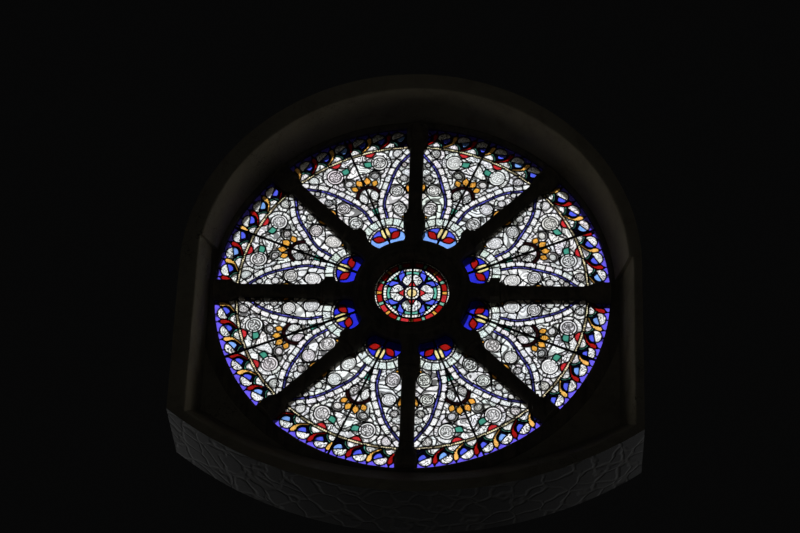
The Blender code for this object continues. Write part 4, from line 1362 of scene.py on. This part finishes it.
def roundel_lines():
    """The leads of the roundel, worked out for one arm of the cross and turned to the other three."""
    lines = [oval((0, 0), radius, radius) for radius in (*ROUNDEL_FLOWER, *ROUNDEL_RINGS[1:])]
    for turn in quarters:
        def set_out(path):
            """The path drawn for the upright arm, laid along this one."""
            return turned_flat(path, turn)

        def rung(across, along, far_across, far_along):
            """A short straight lead, and the same mirrored in the arm."""
            return [set_out(spaced([(side * across, along), (side * far_across, far_along)]))
                    for side in (-1, 1)]

        def ring_part(middle, half):
            """The inner edge of the white ring, half degrees each way from the middle."""
            return arc((0, 0), ROUNDEL_RINGS[0], math.degrees(middle) - half, math.degrees(middle) + half)

        # Red wedge on the flower, the petal round it, and the teal piece over it.
        lines += rung(0.026, 0.042, 0.0, 0.084)
        lines += [set_out(oval((0.0, 0.083), 0.057, 0.042)), ring_part(turn, 21)]
        lines += rung(0.037, 0.112, 0.041, 0.146)
        # The two blue leaves that start beside the petal and cross the white ring, and the teal
        # piece and white filling between this arm's leaf and the next arm's.
        lines += [set_out(leaf_shape((side * 0.067, 0.070), (side * 0.0565, 0.157), 0.205))
                  for side in (-1, 1)]
        diagonal = turn + math.pi / 4
        lines.append(ring_part(diagonal, 17))
        lines += [turned_flat(spaced([(0.0, 0.118), (side * 0.017, 0.143)]), diagonal) for side in (-1, 1)]
    lines += [radial(block * BLOCK_STEP + side * BLOCK_TURN, *ROUNDEL_RINGS[2:])
              for block in range(16) for side in (-1, 1)]
    lines.append(spaced([(0, -0.21), (0, 0.21)]))
    lines += [spaced([(side * 0.078, 0.0), (side * 0.124, 0.0)]) for side in (-1, 1)]
    return [run_on(line) for line in lines]


def roundel_kinds(spot):
    """Kind by ring and by angle. Inside the rings a piece is dark unless a spot colours it."""
    reach, turn = around(spot)
    step = np.round(turn / BLOCK_STEP)
    on_block = np.abs(turn - step * BLOCK_STEP) < BLOCK_TURN
    kind = by_band([
        (reach < ROUNDEL_FLOWER[0], "yellow"),
        (reach < ROUNDEL_FLOWER[1], "fringe"),
        (reach > ROUNDEL_RINGS[3], "fringe"),
        ((reach > ROUNDEL_RINGS[2]) & on_block & (step % 2 == 0), "amber"),
        ((reach > ROUNDEL_RINGS[2]) & on_block, "pale_teal"),
        (reach > ROUNDEL_RINGS[2], "ruby"),
        (reach > ROUNDEL_RINGS[1], "night"),
        (reach > ROUNDEL_RINGS[0], "fringe"),
    ], "night")
    kind[(kind == KINDS["ruby"]) & (np.floor(turn / BLOCK_STEP) % 2 == 0)] = KINDS["scarlet"]
    return kind


def roundel_spots():
    """Spots in the white petals, red wedges, blue leaves and teal pieces, for each arm of the cross."""
    arm = [(side * x, y, KINDS[name]) for side in (-1, 1) for x, y, name in (
        (0.030, 0.084, "white"), (0.006, 0.056, "scarlet"), (0.018, 0.1335, "bright_teal"),
        (0.044, 0.134, "white"))]
    arm += [(side * (0.067 - 0.12 * (place - 0.07)), place, KINDS["mid_blue"])
            for side in (-1, 1) for place in (0.095, 0.120, 0.138, 0.148)]
    arm = np.array(arm + [(0.094, 0.094, KINDS["bright_teal"]), (0.097, 0.097, KINDS["bright_teal"])])
    return np.vstack([np.column_stack([turned_flat(arm, turn), arm[:, 2]]) for turn in quarters])


def roundel_drawing(flat):
    """Beads round the flower, fringe on the white ring and beads at the edge: count round, and the
    place across each ring from -1 to 1."""
    reach, turn = around(flat)
    rings = ((0.037, 0.0085, 12), (0.155, 0.0115, 56), (0.207, 0.0060, 84))  # middle, half width, count
    nearest = np.abs(reach[:, None] - np.array(rings)[:, 0]).argmin(1)
    middle, half, count = np.array(rings)[nearest].T
    return np.stack([turn / (2 * math.pi) * count, (reach - middle) / half], -1)


eye = (EYE_R + BEDDED) / UNIT
glass, leads = leaded_panel(
    "roundel", roundel_lines(), oval((0, 0), eye, eye)[:-1], oval((0, 0), EYE_R, EYE_R)[:-1], ROUNDEL_GRID,
    roundel_kinds, roundel_spots(), roundel_drawing, 0.0, 350)
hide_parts("roundel")
for piece in (glass, leads):
    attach(piece, "root")

# ---------------------------------------------------------------------------------------------
# The studio: a pale floor at a visitor's feet, daylight from the sky behind the glass, two weak
# strips of light on the room side, and a camera where the visitor stands and looks up.

FLOOR_DROP = -13.0
floor_corners = ((-3, -22), (3, -22), (3, -16), (-3, -16))
floor_points = np.array([(x, y, FLOOR_DROP) for x, y in floor_corners])
screed = Finish("pale_floor", Roughness=0.9)
screed.tree.links.new(screed.blend(screed.noise(0.8), rgb(0.78, 0.77, 0.75), rgb(0.82, 0.81, 0.79)),
                      screed.shader.inputs["Base Color"])
floor = make_piece("floor", floor_points, [np.array([[0, 1, 2, 3]])], [screed.material])

SKY = 1.35
GROUND = 0.10  # outside, below the horizon
ROOM = 0.004
STRIP_POWER = 0.10
world = bpy.data.worlds.new("studio")
bpy.context.scene.world = world
world.use_nodes = True
sky = Nodes(world.node_tree)
direction = sky.node("ShaderNodeTexCoord").outputs["Generated"]
_, towards_wall, upwards = sky.node("ShaderNodeSeparateXYZ", [(0, direction)]).outputs
outside = sky.math("MULTIPLY_ADD", sky.ramp(upwards, -0.04, 0.06), SKY - GROUND, GROUND - ROOM)
dome = sky.math("MULTIPLY_ADD", sky.ramp(towards_wall, -0.05, 0.20), outside, ROOM)
seen = sky.node("ShaderNodeLightPath").outputs["Is Camera Ray"]
background = sky.tree.nodes["Background"]
background.inputs["Color"].default_value = (0.98, 0.99, 1.0, 1.0)
sky.tree.links.new(sky.mixed(seen, dome, 0.002), background.inputs["Strength"])

# Two strips with grids stand at the height of the sill, one far out on each side. Their narrow
# beams cross in front of the wheel and light the soffit and the jambs' edges from a little below.
LEAN = math.radians(72)  # how far a beam leans from upright
RUN = 0.085  # and its run towards the wall per metre
STRIP_SIZE = (3.8, 0.2)
STRIP_SPREAD = math.radians(5)
MEETING = np.array([0.0, -0.79, 1.95])  # where the two beams cross
THROW = 4.6  # metres from a strip to there


def stood(name, data, right, backward, at):
    """A light or a camera in the scene that faces against backward, with right on its right."""
    made = bpy.data.objects.new(name, data)
    axes = np.column_stack([right, np.cross(backward, right), backward])
    made.matrix_world = Matrix.Translation(np.asarray(at).tolist()) @ Matrix(axes.tolist()).to_4x4()
    bpy.context.scene.collection.objects.link(made)
    return made


for side in (-1, 1):
    beam = np.array([side * math.sin(LEAN), RUN, math.cos(LEAN)])
    beam /= np.linalg.norm(beam)
    strip = bpy.data.lights.new("strip", "AREA")
    strip.shape = "RECTANGLE"
    strip.size, strip.size_y = STRIP_SIZE
    strip.energy = STRIP_POWER
    strip.spread = STRIP_SPREAD
    strip.color = (1.0, 0.95, 0.80)
    along = np.array([math.cos(LEAN), 0.0, -side * math.sin(LEAN)])
    along -= beam * along.dot(beam)
    along /= np.linalg.norm(along)
    stood("strip", strip, along, -beam, MEETING - THROW * beam).visible_camera = False

EYE = (0.990, -18.441, -9.112)  # where the visitor's eye is
FOCAL = 120.195  # mm, on a frame 36 mm wide
pitch, yaw, roll = np.radians((31.617, -3.440, 2.255))
forward = np.array([math.sin(yaw) * math.cos(pitch), math.cos(yaw) * math.cos(pitch), math.sin(pitch)])
level = np.array([math.cos(yaw), -math.sin(yaw), 0.0])
right = math.cos(roll) * level + math.sin(roll) * np.cross(level, forward)
lens = bpy.data.cameras.new("visitor")
lens.lens = FOCAL
lens.sensor_width = 36
lens.clip_end = 200
bpy.context.scene.camera = stood("visitor", lens, right, -forward, EYE)
bpy.context.scene.view_settings.view_transform = "Standard"
